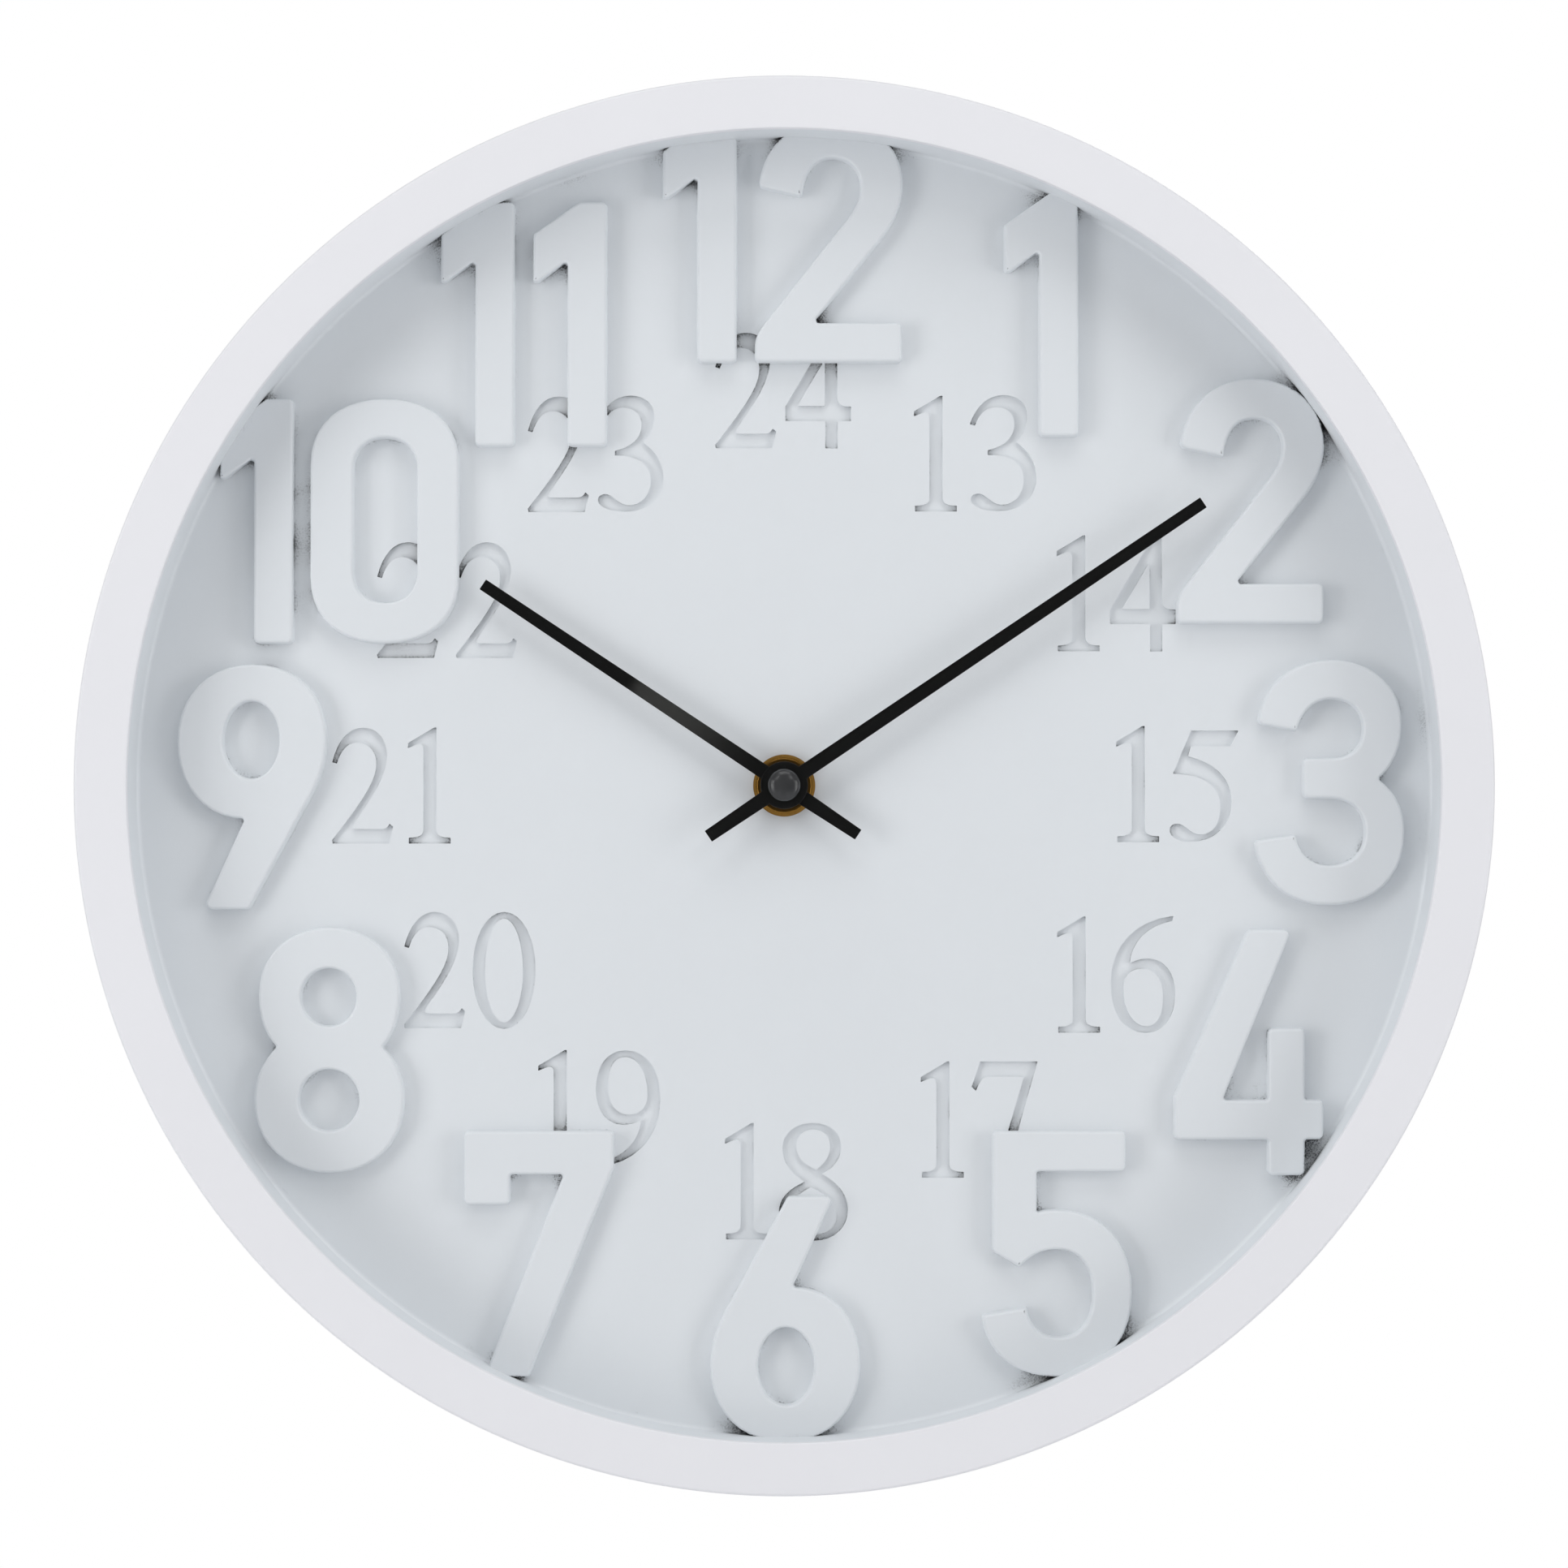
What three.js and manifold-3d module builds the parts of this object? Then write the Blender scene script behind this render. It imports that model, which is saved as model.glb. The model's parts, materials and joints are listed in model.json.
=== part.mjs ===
// A round white wall clock with a deep dial: big raised hour figures 1 to 12 and small engraved
// figures 13 to 24, two straight black hands and a quartz movement screwed behind the dial.
//
// Millimetres. Every piece is made in the clock's own frame: x to the right as one faces the dial,
// y up, z out from the wall, with the hands' axis on x = y = 0 and the wall on z = 0. The exported
// group then stands that frame up: +Z is up, the dial faces -Y, the wall is the plane y = 0, and the
// origin is the spot on the wall straight behind the nail's bearing point.
import * as THREE from "three";
import { mergeVertices } from "three/addons/utils/BufferGeometryUtils.js";
import Module from "manifold-3d";

const wasm = await Module();
wasm.setup();

// ---- Fits ----
const GAP = 0.3; // air left between two pieces that touch
const RUN = 0.3; // radial clearance round a turning or loosely passing piece

// ---- Case, lens and dial ----
const CASE_RADIUS = 150;
const CASE_DEPTH = 40; // wall to the front of the bezel
const CASE_WALL = 2.5;
const BEZEL_WIDTH = 11.2; // flat ring seen from the front
const BEZEL_THICK = 2.5;
const CASE_EDGE = 0.4; // chamfer on the outer front edge
const LENS_THICK = 2;
const LENS_LAP = 2.2; // how far the lens reaches behind the bezel
const DIAL_DEPTH = 18.5; // bezel face down to the dial floor
const DIAL_PLATE = 2.6;
const DISH_WALL = 2; // standing wall round the dial floor
const DIAL_FACETS = 72; // sides of the big rings

// ---- Figures ----
const RAISED_SIZE = 52.7; // height of a raised figure on the dial
const RAISED_HEIGHT = 3.5; // how far it stands up from the floor
const ENGRAVED_SIZE = 24.9;
const ENGRAVED_DEPTH = 0.9;

// ---- Screws that hold the dial in the case ----
const DIAL_SCREWS = 6;
const FIRST_SCREW_ANGLE = 30; // degrees from the right, anticlockwise
const BOSS_RADIUS = 3.1;
const SCREW_RADIUS = 1;
const SCREW_HEAD_RADIUS = 2.6;
const SCREW_HEAD_HEIGHT = 1.8;
const SCREW_LENGTH = 11;
const HANGER_SCREW_LENGTH = 9;
const PILOT_SPARE = 2; // pilot hole past the screw's end

// ---- Hanger ----
const HOOK_HEIGHT = 124; // nail's bearing point above the hands' axis
const HANGER_WIDTH = 56;
const HANGER_TALL = 24;
const HANGER_THICK = 1.5;
const HANGER_CORNER = 3;
const HANGER_WALL_GAP = 5.2; // wall to the plate's rear face
const POST_RADIUS = 3.2;
const POST_SPACING = 40;
const NAIL_SLOT_RADIUS = 2.3;
const NAIL_HEAD_RADIUS = 4.8;
const KEYHOLE_DROP = 9; // from the slot's end to the middle of the round hole

// ---- Hands ----
const MINUTE_LENGTH = 107.9;
const MINUTE_TAIL = 19.5;
const HOUR_LENGTH = 77.4;
const HOUR_TAIL = 19;
const HAND_HUB_WIDTH = 3.1; // width of each bar where it crosses the axis
const MINUTE_TIP_WIDTH = 2.55;
const MINUTE_TAIL_WIDTH = 2.75;
const HOUR_TIP_WIDTH = 2.5;
const HAND_THICK = 0.5;
const HAND_HUB_RADIUS = 5.05;
const MINUTE_ANGLE = 56; // degrees clockwise from 12
const HOUR_ANGLE = 303.7;
const HAND_CLEAR = 0.9; // raised figures to the hour hand
const HAND_SPACING = 1.5; // hour hand to minute hand, face to face
const CAP_RADIUS = 3.5;
const CAP_HEIGHT = 2.2;
const CAP_RIM = 0.4; // straight rim under the cap's dome
const COLLET_WALL = 0.8;

// ---- Movement ----
const MOVEMENT_SIDE = 56;
const MOVEMENT_DEPTH = 14.5;
const MOVEMENT_DROP = 8; // middle of the housing below the hands' axis
const HOUSING_WALL = 1.5;
const HOUSING_FRONT = 1.2;
const COVER_THICK = 1.3;
const BUSH_RADIUS = 4;
const NUT_RADIUS = 6.65;
const NUT_THICK = 2;
const NUT_CHAMFER = 0.7;
const BUSH_PROUD = 0.2; // bush standing out past the nut
const WASHER_THICK = 0.6;
const GASKET_RADIUS = 9;
const GASKET_THICK = 1;
const HOUR_PIPE_RADIUS = 2.6;
const PIPE_RUN = 0.4; // radial clearance of the hour pipe in the bush
const BUSH_BORE = HOUR_PIPE_RADIUS + PIPE_RUN;
const MINUTE_ARBOR_RADIUS = 1.4;
const MINUTE_STUD_RADIUS = 1;
const ARBOR_RADIUS = 0.6;
const PIVOT_RADIUS = 0.25;
const PIVOT_LENGTH = 0.8;
const BEARING_RADIUS = 1.1;
const KNOB_RADIUS = 4.5;
const KNOB_THICK = 1.5;
const KNOB_SHAFT_RADIUS = 0.9;
const KNOB_GRIPS = 16;
const KNOB_GRIP_DEPTH = 0.4;
const BATTERY_RADIUS = 7.15;
const BATTERY_LENGTH = 48.8; // without its positive button
const BUTTON_LENGTH = 1.2;
const BUTTON_RADIUS = 2.7;

// ---- Gear train: teeth and modules ----
const ROTOR_PINION = 6;
const INTERMEDIATE_TEETH = 36;
const INTERMEDIATE_PINION = 6;
const FOURTH_TEETH = 30;
const FOURTH_PINION = 6;
const THIRD_TEETH = 45;
const THIRD_PINION = 6;
const CENTRE_TEETH = 48;
const MINUTE_PINION = 8;
const MOTION_TEETH = 32;
const MOTION_PINION = 10;
const HOUR_TEETH = 30;
const ROTOR_MODULE = 0.28;
const FOURTH_MODULE = 0.4;
const THIRD_MODULE = 0.4;
const MOTION_MODULE = 0.6; // both motion-work pairs share one centre distance
// The centre wheel turns between the motion-work shaft, which its teeth clear, and the third arbor,
// which clears the teeth of the hour wheel.
const CENTRE_MODULE = 0.7 * MOTION_MODULE;
const TIP_ADD = 0.9; // tooth height outside the pitch circle, in modules
const ROOT_DROP = 1.25; // and inside it
const TIP_HALF = 0.08; // half thickness of a tooth at its tip and at its root, in pitches
const ROOT_HALF = 0.25;
const WHEEL_THICK = 0.9;
const PINION_THICK = 1.4;

// ---- Levels, all measured out from the wall ----
const FLOOR_Z = CASE_DEPTH - DIAL_DEPTH;
const PLATE_BACK_Z = FLOOR_Z - DIAL_PLATE;
const BEZEL_BACK_Z = CASE_DEPTH - BEZEL_THICK;
const LENS_FRONT_Z = BEZEL_BACK_Z - GAP;
const LENS_BACK_Z = LENS_FRONT_Z - LENS_THICK;
const DISH_RIM_Z = LENS_BACK_Z - GAP;
const FIGURE_TOP_Z = FLOOR_Z + RAISED_HEIGHT;
const HOUR_HAND_Z = FIGURE_TOP_Z + HAND_CLEAR;
const MINUTE_HAND_Z = HOUR_HAND_Z + HAND_SPACING;
const GASKET_BACK_Z = PLATE_BACK_Z - GAP - GASKET_THICK;
const HOUSING_FRONT_Z = GASKET_BACK_Z - GAP;
const HOUSING_INNER_Z = HOUSING_FRONT_Z - HOUSING_FRONT;
const COVER_BACK_Z = HOUSING_FRONT_Z - MOVEMENT_DEPTH;
const COVER_FRONT_Z = COVER_BACK_Z + COVER_THICK;
const WASHER_Z = FLOOR_Z + GAP;
const NUT_Z = WASHER_Z + WASHER_THICK + GAP;
const BUSH_END_Z = NUT_Z + NUT_THICK + BUSH_PROUD;

// Levels of the wheels, each from the layer behind it.
const COVER_CLEAR = 0.7; // rear cover to the rearmost wheel
const INTERMEDIATE_LAYER = 1.5;
const FOURTH_LAYER = 1.7;
const LAYER = 2.1; // pitch of the layers in front of the third wheel
const INTERMEDIATE_Z = COVER_FRONT_Z + COVER_CLEAR;
const FOURTH_Z = INTERMEDIATE_Z + INTERMEDIATE_LAYER;
const THIRD_Z = FOURTH_Z + FOURTH_LAYER;
const CENTRE_Z = THIRD_Z + LAYER;
const MOTION_Z = CENTRE_Z + LAYER;
const HOUR_WHEEL_Z = MOTION_Z + LAYER;

// ---- Radii that follow ----
const BEZEL_INNER = CASE_RADIUS - BEZEL_WIDTH;
const CASE_INNER = CASE_RADIUS - CASE_WALL;
const DISH_OUTER = BEZEL_INNER + DISH_WALL;
const SCREW_CIRCLE = CASE_INNER - BOSS_RADIUS + 0.2; // the boss is buried 0.2 in the case wall
const DIAL_HOLE = BUSH_RADIUS + RUN;

// ---- Places of the arbors in the movement ----
const polar = (from, distance, degrees) => {
  const a = THREE.MathUtils.degToRad(degrees);
  return [from[0] + distance * Math.cos(a), from[1] + distance * Math.sin(a)];
};
const pairDistance = (teethA, teethB, module) => ((teethA + teethB) / 2) * module;
const THIRD_DIRECTION = 200;
const FOURTH_DIRECTION = 100;
const INTERMEDIATE_DIRECTION = 35;
const ROTOR_DIRECTION = 20;
const AXIS = [0, 0];
const THIRD_AT = polar(AXIS, pairDistance(THIRD_PINION, CENTRE_TEETH, CENTRE_MODULE), THIRD_DIRECTION);
const FOURTH_AT = polar(THIRD_AT, pairDistance(FOURTH_PINION, THIRD_TEETH, THIRD_MODULE), FOURTH_DIRECTION);
const INTERMEDIATE_AT = polar(
  FOURTH_AT,
  pairDistance(INTERMEDIATE_PINION, FOURTH_TEETH, FOURTH_MODULE),
  INTERMEDIATE_DIRECTION,
);
const ROTOR_AT = polar(
  INTERMEDIATE_AT,
  pairDistance(ROTOR_PINION, INTERMEDIATE_TEETH, ROTOR_MODULE),
  ROTOR_DIRECTION,
);
const MOTION_AT = polar(AXIS, pairDistance(MINUTE_PINION, MOTION_TEETH, MOTION_MODULE), 0);

// ---- Figure outlines: the height is 100, the left edge and the foot are 0 ----
// M starts a contour, L is a straight line, C is a cubic curve, Z closes. Later contours are holes.
const NINE =
  "M 30 0 L 52 40.5 C 58.5 51.5 61.5 59 61.5 69 C 61.5 88 49 100 31 100 C 13 100 0.5 87 0.5 68.5 " +
  "C 0.5 50 11.5 37 27.8 36.8 L 11 0 Z " +
  "M 30.7 84.5 C 37 84.5 41.9 77.5 41.9 69 C 41.9 60.5 37 53.5 30.7 53.5 C 24.5 53.5 19.5 60.5 19.5 69 " +
  "C 19.5 77.5 24.5 84.5 30.7 84.5 Z";
const BOLD = {
  0:
    "M 0.4 27 L 0.4 73 C 0.4 90 12.5 100 31 100 C 49.5 100 61.2 90 61.2 73 L 61.2 27 " +
    "C 61.2 10 49.5 0 31 0 C 12.5 0 0.4 10 0.4 27 Z " +
    "M 18.4 29.5 L 18.4 71 C 18.4 79 23.5 83.6 31.1 83.6 C 38.8 83.6 43.8 79 43.8 71 L 43.8 29.5 " +
    "C 43.8 21.5 38.8 17 31.1 17 C 23.5 17 18.4 21.5 18.4 29.5 Z",
  1: "M 14 0 L 30.4 0 L 30.4 100 L 19 100 L 0 86.7 L 0 67 L 2.5 67 L 14 75.3 Z",
  2:
    "M 0 0 L 60 0 L 60 16.5 L 24.5 16.5 L 52.5 51.5 C 57 57.5 60.5 65 60.5 73 " +
    "C 60.5 89 48 100 31 100 C 15 100 3 88.5 1.5 71.5 L 19.5 67.5 C 20 77 24 83.3 31.5 83.3 " +
    "C 38.5 83.3 43 78.5 43 71.5 C 43 66.5 41 63 37 58 L 3.5 15.5 C 1 12 0 10 0 6 Z",
  3:
    "M 1.5 73.5 C 3.5 89.5 15 100 32 100 C 48.5 100 60.5 89 60.5 74.5 C 60.5 64 57 56.5 51 51.5 " +
    "C 57.5 46.5 61.5 40 61.5 30 C 61.5 11 49 0 30.5 0 C 13 0 2 10.5 0 26.5 L 17.2 29 " +
    "C 18.5 20.5 24 16.5 31 16.5 C 39.5 16.5 45 21.5 45 30 C 45 38.5 39.5 43.3 31.5 43.3 " +
    "L 20 43.3 L 20 60 L 32 60 C 39.5 60 44.3 64.5 44.3 71.8 C 44.3 79.5 39 83.7 31.8 83.7 " +
    "C 24.5 83.7 19.5 78.5 17.8 70.7 Z",
  4:
    "M 30.5 100 L 0.3 32 L 0.3 14.5 L 38.3 14.5 L 38.3 0 L 53.7 0 L 53.7 14.5 L 61.3 14.5 " +
    "L 61.3 31 L 53.7 31 L 53.7 60 L 38.3 60 L 38.3 31 L 20.5 31 L 48.7 100 Z",
  5:
    "M 4.7 100 L 59 100 L 59 83.2 L 23 83.2 L 23 67.3 C 25.5 68 28 68.2 31 68.2 " +
    "C 49 68.2 61.7 54.5 61.7 35 C 61.7 14 49.5 0 30.5 0 C 13 0 2 10.5 0 25.5 L 18.7 28.7 " +
    "C 20 21 24.5 16.5 31.5 16.5 C 40.5 16.5 45.3 23.5 45.3 34 C 45.3 45 40 51.7 31 51.7 " +
    "C 24.5 51.7 20 49 15.8 44.5 L 4.7 51 Z",
  7:
    "M 0.3 100 L 61.3 100 L 61.3 85 L 26.8 0 L 8.3 0 L 40.5 82 L 19.3 82 L 19.3 69.7 L 0.3 69.7 Z",
  8:
    "M 31 100 C 47.5 100 59.7 88.5 59.7 73 C 59.7 63 57 56 52.8 51.3 C 58 46 61.5 39 61.5 30 " +
    "C 61.5 12 49 0 31 0 C 13 0 0.3 12 0.3 30 C 0.3 39 4 46 9.2 51.3 C 4.7 56 2 63 2 73 " +
    "C 2 88.5 14.5 100 31 100 Z " +
    "M 30.7 83 C 37 83 41.6 78 41.6 71.5 C 41.6 65 37 60 30.7 60 C 24.5 60 19.7 65 19.7 71.5 " +
    "C 19.7 78 24.5 83 30.7 83 Z " +
    "M 30.8 42 C 37.5 42 42.8 36.5 42.8 29.7 C 42.8 23 37.5 17.5 30.8 17.5 C 24 17.5 18.8 23 18.8 29.7 " +
    "C 18.8 36.5 24 42 30.8 42 Z",
  9: NINE,
};
const ROMAN_SIX =
  "M 54 100.8 C 22 97.5 0 76 0 43 C 0 17 11 0.3 30 0.3 C 46 0.3 55.5 14 55.5 34 " +
  "C 55.5 52.5 46 64.3 32 64.3 C 26 64.3 21 62.7 16.5 60 C 18 78 31 92.5 53 96.5 Z " +
  "M 27 55.5 C 38.5 55.5 45 46.5 45 31 C 45 15 39.5 6 30.5 6 C 19 6 11 20 11 38.5 " +
  "C 11 49.5 17 55.5 27 55.5 Z";
const ROMAN = {
  0:
    "M 27.3 100.3 C 43 100.3 54.4 78 54.4 50 C 54.4 22 43 -0.3 27.3 -0.3 C 11.5 -0.3 0.2 22 0.2 50 " +
    "C 0.2 78 11.5 100.3 27.3 100.3 Z " +
    "M 27.3 94.6 C 36.5 94.6 43.6 74 43.6 50 C 43.6 26 36.5 5.2 27.3 5.2 C 18 5.2 10.8 26 10.8 50 " +
    "C 10.8 74 18 94.6 27.3 94.6 Z",
  1:
    "M 1 0.5 L 37 0.5 L 37 5.5 C 29 5.7 25 7 24.7 12 L 24.7 100.5 L 22.5 100.3 L 0.3 87 L 0 82.5 " +
    "C 5 84.5 8 86.3 10.5 86 C 12.8 85.6 13.5 84 13.5 80 L 13.5 12 C 13.2 7 9 5.7 1 5.5 Z",
  2:
    "M 0.5 0.5 L 49 0.5 L 52.5 15 L 49.5 17.5 C 47.5 14 46 13 42 13 L 20.5 13 C 18 13 17.2 14.2 18.2 16 " +
    "C 20 22 46 50 47.3 75 C 47.3 91 38.5 100.2 26.5 100.2 C 14 100.2 5 90 0 70.5 L 4 69.3 " +
    "C 7.5 80 12.5 87.3 21 87.3 C 31 87.3 38 80.5 38 69.5 C 38 57 32 44 0 3.5 Z",
  3:
    "M 0 76 C 6 92 15.5 101 29 101 C 41 101 49 94.5 49.3 84 C 49.5 74 46.5 67 40 60.5 " +
    "C 51 53 57.3 42 57.3 29.5 C 57.3 12 43.5 0.8 25 0.8 C 12 0.8 1 4.5 1 11 C 1 14 3.5 16 7.5 16 " +
    "C 14 16 18.5 6.5 27.5 6.3 C 39 6.3 46.5 16 46.5 28 C 46.5 42 36 49.5 15.5 49.3 L 15.5 53.3 " +
    "C 30 57 38.5 64 38.5 76 C 38.5 85 32 90.5 23 90.5 C 14 90.5 8 85 4.5 74.5 Z",
  4:
    "M 35.5 0.3 L 46 0.3 L 46 24 L 57.5 24 L 57.5 36.5 C 52 36.3 46 37 45.8 44 L 45.5 99 L 38 99 " +
    "L 1 36.5 L 1 24 L 35.5 24 Z M 11.3 37 L 35 37 L 35 77 Z",
  5:
    "M 19.3 96.5 L 60 96.5 L 53 83 L 19 83 L 16.5 74.3 C 38 69.5 54 57 54 35.5 " +
    "C 54 14 39.5 0.8 18 0.8 C 8 0.8 0.7 4.5 0.7 11 C 0.7 14.3 3.5 16.3 7 16.3 " +
    "C 14.5 16.3 18 7.3 27 7 C 38.5 7 44.3 17 44.3 31.5 C 44.3 48.5 31 59 3.5 59.3 Z",
  6: ROMAN_SIX,
  7:
    "M 6.8 100.3 L 56 100.3 L 27.5 0.3 L 18.5 0.3 L 44 86 C 42.5 87.3 41 87.3 39 87.3 L 14 87.3 " +
    "C 9 87.3 6.5 84 3 75 L -0.8 78.5 Z",
  8:
    "M 27 100.5 C 41 100.5 51 92 51 80.5 C 51 69.5 44.5 61.5 34.5 56.5 C 47 50 56.7 40 56.7 26 " +
    "C 56.7 10 44.5 -0.5 27.5 -0.5 C 10 -0.5 -2.5 9 -2.5 24 C -2.5 36 6 44 19.5 50 " +
    "C 7 57.5 0.5 66.5 0.5 79 C 0.5 91.5 11.5 100.5 27 100.5 Z " +
    "M 27 95 C 17.5 95 12.5 88 12.5 80.5 C 12.5 71 18.5 65 29.5 60.3 C 37 65.5 41.5 71.5 41.5 80.5 " +
    "C 41.5 89 36 95 27 95 Z " +
    "M 25 45.5 C 14 39.5 6.5 34 6.5 23.5 C 6.5 12 15 5 28 5 C 40 5 47 11.5 47 21 " +
    "C 47 32 39 38.5 25 45.5 Z",
};

// ---- Where the figures stand: the figures, their foot, and the left edge of each ----
const RAISED_FIGURES = [
  ["12", 90.5, -26.1, -6.4],
  ["1", 74.6, 47.1],
  ["2", 34.6, 83.9],
  ["3", -25.7, 100.3],
  ["4", -83.4, 83.0],
  ["5", -126.4, 41.9],
  ["6", -140.3, -16.1],
  ["7", -126.4, -68.6],
  ["8", -82.9, -113.5],
  ["9", -26.6, -130.2],
  ["10", 30.3, -121.0, -101.8],
  ["11", 72.5, -73.7, -53.9],
];
const ENGRAVED_FIGURES = [
  ["13", 58.7, 27.8, 39.8],
  ["14", 28.7, 58.4, 69.6],
  ["15", -12.2, 71.1, 82.4],
  ["16", -53.0, 58.4, 69.9],
  ["17", -84.0, 29.2, 40.3],
  ["18", -97.2, -12.7, -0.5],
  ["19", -81.6, -52.7, -40.2],
  ["20", -52.0, -81.4, -66.8],
  ["21", -12.5, -96.9, -80.7],
  ["22", 27.3, -87.3, -70.4],
  ["23", 58.6, -55.0, -40.2],
  ["24", 72.3, -14.8, 0.0],
];

// ---- Outlines ----
const CURVE_STEPS_BOLD = 5; // straight pieces in each cubic of a raised figure
const CURVE_STEPS_ROMAN = 3;

function cubicPoint(from, c, t) {
  const s = 1 - t;
  const at = (i) => s ** 3 * from[i] + 3 * s * s * t * c[i] + 3 * s * t * t * c[i + 2] + t ** 3 * c[i + 4];
  return [at(0), at(1)];
}

// The contours of an outline written with M, L, C and Z, as lists of points.
function contoursOf(outline, steps) {
  const words = outline.split(" ");
  const numbers = (from, count) => words.slice(from, from + count).map(Number);
  const contours = [];
  for (let i = 0; i < words.length; ) {
    const word = words[i];
    const open = contours[contours.length - 1];
    if (word === "M") contours.push([numbers(i + 1, 2)]);
    if (word === "L") open.push(numbers(i + 1, 2));
    if (word === "C") {
      const start = open[open.length - 1];
      const curve = numbers(i + 1, 6);
      for (let k = 1; k <= steps; k++) open.push(cubicPoint(start, curve, k / steps));
    }
    i += { M: 3, L: 3, C: 7, Z: 1 }[word];
  }
  return contours.map(withoutRepeats);
}

function withoutRepeats(points) {
  const apart = (a, b) => Math.hypot(a[0] - b[0], a[1] - b[1]) > 1e-3;
  return points.filter((p, i) => apart(p, points[(i + points.length - 1) % points.length]));
}

const halfTurned = (contours, width, height) =>
  contours.map((contour) => contour.map(([x, y]) => [width - x, height - y]));

// A 6 is a 9 turned half round in the raised face, and a 9 is a 6 turned half round in the engraved one.
function boldContours(figure) {
  if (figure === "6") return halfTurned(contoursOf(BOLD[9], CURVE_STEPS_BOLD), 62, 100);
  return contoursOf(BOLD[figure], CURVE_STEPS_BOLD);
}
function romanContours(figure) {
  if (figure === "9") return halfTurned(contoursOf(ROMAN[6], CURVE_STEPS_ROMAN), 55, 100.5);
  return contoursOf(ROMAN[figure], CURVE_STEPS_ROMAN);
}

function circleContour(x, y, radius, sides) {
  return Array.from({ length: sides }, (_, k) => polar([x, y], radius, (360 * k) / sides));
}

// ---- Solids ----
// A closed geometry as a manifold-3d solid: its doubles merged, slivers dropped, faces turned outwards.
function solid(geometry) {
  const bare = geometry.clone();
  bare.deleteAttribute("normal");
  bare.deleteAttribute("uv");
  const merged = mergeVertices(bare, 1e-4);
  const p = merged.attributes.position.array;
  const index = merged.index.array;
  const kept = [];
  let volume = 0;
  for (let i = 0; i < index.length; i += 3) {
    const [a, b, c] = index.slice(i, i + 3);
    if (a === b || b === c || c === a) continue;
    kept.push(a, b, c);
    const [u, v, w] = [a, b, c].map((k) => new THREE.Vector3(p[3 * k], p[3 * k + 1], p[3 * k + 2]));
    volume += u.dot(v.cross(w));
  }
  if (volume < 0) kept.reverse();
  return new wasm.Manifold(
    new wasm.Mesh({ numProp: 3, vertProperties: p, triVerts: new Uint32Array(kept) }),
  );
}

// Outer contours run anticlockwise and holes clockwise, as ExtrudeGeometry expects.
function shapeOf([outer, ...holes]) {
  const vectors = (points, clockwise) => {
    const list = points.map(([x, y]) => new THREE.Vector2(x, y));
    return THREE.ShapeUtils.isClockWise(list) === clockwise ? list : list.reverse();
  };
  const shape = new THREE.Shape(vectors(outer, false));
  shape.holes = holes.map((hole) => new THREE.Path(vectors(hole, true)));
  return shape;
}

// A prism of an outline, from level z0 to level z1.
function prism(contours, z0, z1) {
  const depth = z1 - z0;
  const settings = { depth, bevelEnabled: false };
  return solid(new THREE.ExtrudeGeometry(shapeOf(contours), settings).translate(0, 0, z0));
}

const disc = (x, y, radius, z0, z1, sides) => prism([circleContour(x, y, radius, sides)], z0, z1);

const tube = (x, y, radius, bore, z0, z1, sides) =>
  prism([circleContour(x, y, radius, sides), circleContour(x, y, bore, sides)], z0, z1);

const block = (x0, x1, y0, y1, z0, z1) => {
  const corners = [
    [x0, y0],
    [x1, y0],
    [x1, y1],
    [x0, y1],
  ];
  return prism([corners], z0, z1);
};

// A turned piece: its half section as [radius, level] points, closed on itself, about the axis at x, y.
function turned(section, sides, x = 0, y = 0) {
  const points = [...section, section[0]].map(([r, z]) => new THREE.Vector2(r, z));
  return solid(new THREE.LatheGeometry(points, sides).rotateX(Math.PI / 2).translate(x, y, 0));
}

const joined = (solids) => solids.reduce((whole, s) => whole.add(s));

function arc(cx, cz, radius, from, to, steps) {
  return Array.from({ length: steps + 1 }, (_, k) =>
    polar([cx, cz], radius, from + ((to - from) * k) / steps),
  );
}

// ---- Assembly ----
const clock = new THREE.Group();
clock.rotation.x = Math.PI / 2;
clock.position.z = -HOOK_HEIGHT;

const finish = (color, roughness, metalness = 0) =>
  new THREE.MeshStandardMaterial({ color, roughness, metalness });
const WHITE_CASE = () => finish(0xe5e6e9, 0.45);
const WHITE_DIAL = () => finish(0xd6dbe0, 0.6);
const BLACK_PAINT = () => finish(0x0a0a0a, 0.35);
const BLACK_PLASTIC = () => finish(0x1b1b1c, 0.55);
const BRASS = () => finish(0xa58952, 0.3, 1);
const STEEL = () => finish(0xb8babc, 0.35, 1);
const IRON = () => finish(0x8c8e90, 0.5, 1);
const ACETAL = () => finish(0xeeeeea, 0.4);
const RUBBER = () => finish(0x202020, 0.9);

function piece(name, manifold, material) {
  const mesh = manifold.getMesh();
  const geometry = new THREE.BufferGeometry();
  geometry.setAttribute("position", new THREE.BufferAttribute(mesh.vertProperties, 3));
  geometry.setIndex(new THREE.BufferAttribute(mesh.triVerts, 1));
  const node = new THREE.Mesh(geometry, material);
  node.name = name;
  clock.add(node);
}

// ---- Case, lens and dial ----
const screwPlaces = Array.from({ length: DIAL_SCREWS }, (_, k) =>
  polar(AXIS, SCREW_CIRCLE, FIRST_SCREW_ANGLE + (360 * k) / DIAL_SCREWS),
);
const BOSS_END_Z = FLOOR_Z + GAP;
const PILOT_RADIUS = SCREW_RADIUS + RUN;
const SCREW_HEAD_Z = PLATE_BACK_Z - GAP;
const PILOT_END_Z = SCREW_HEAD_Z + SCREW_LENGTH + PILOT_SPARE;

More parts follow.
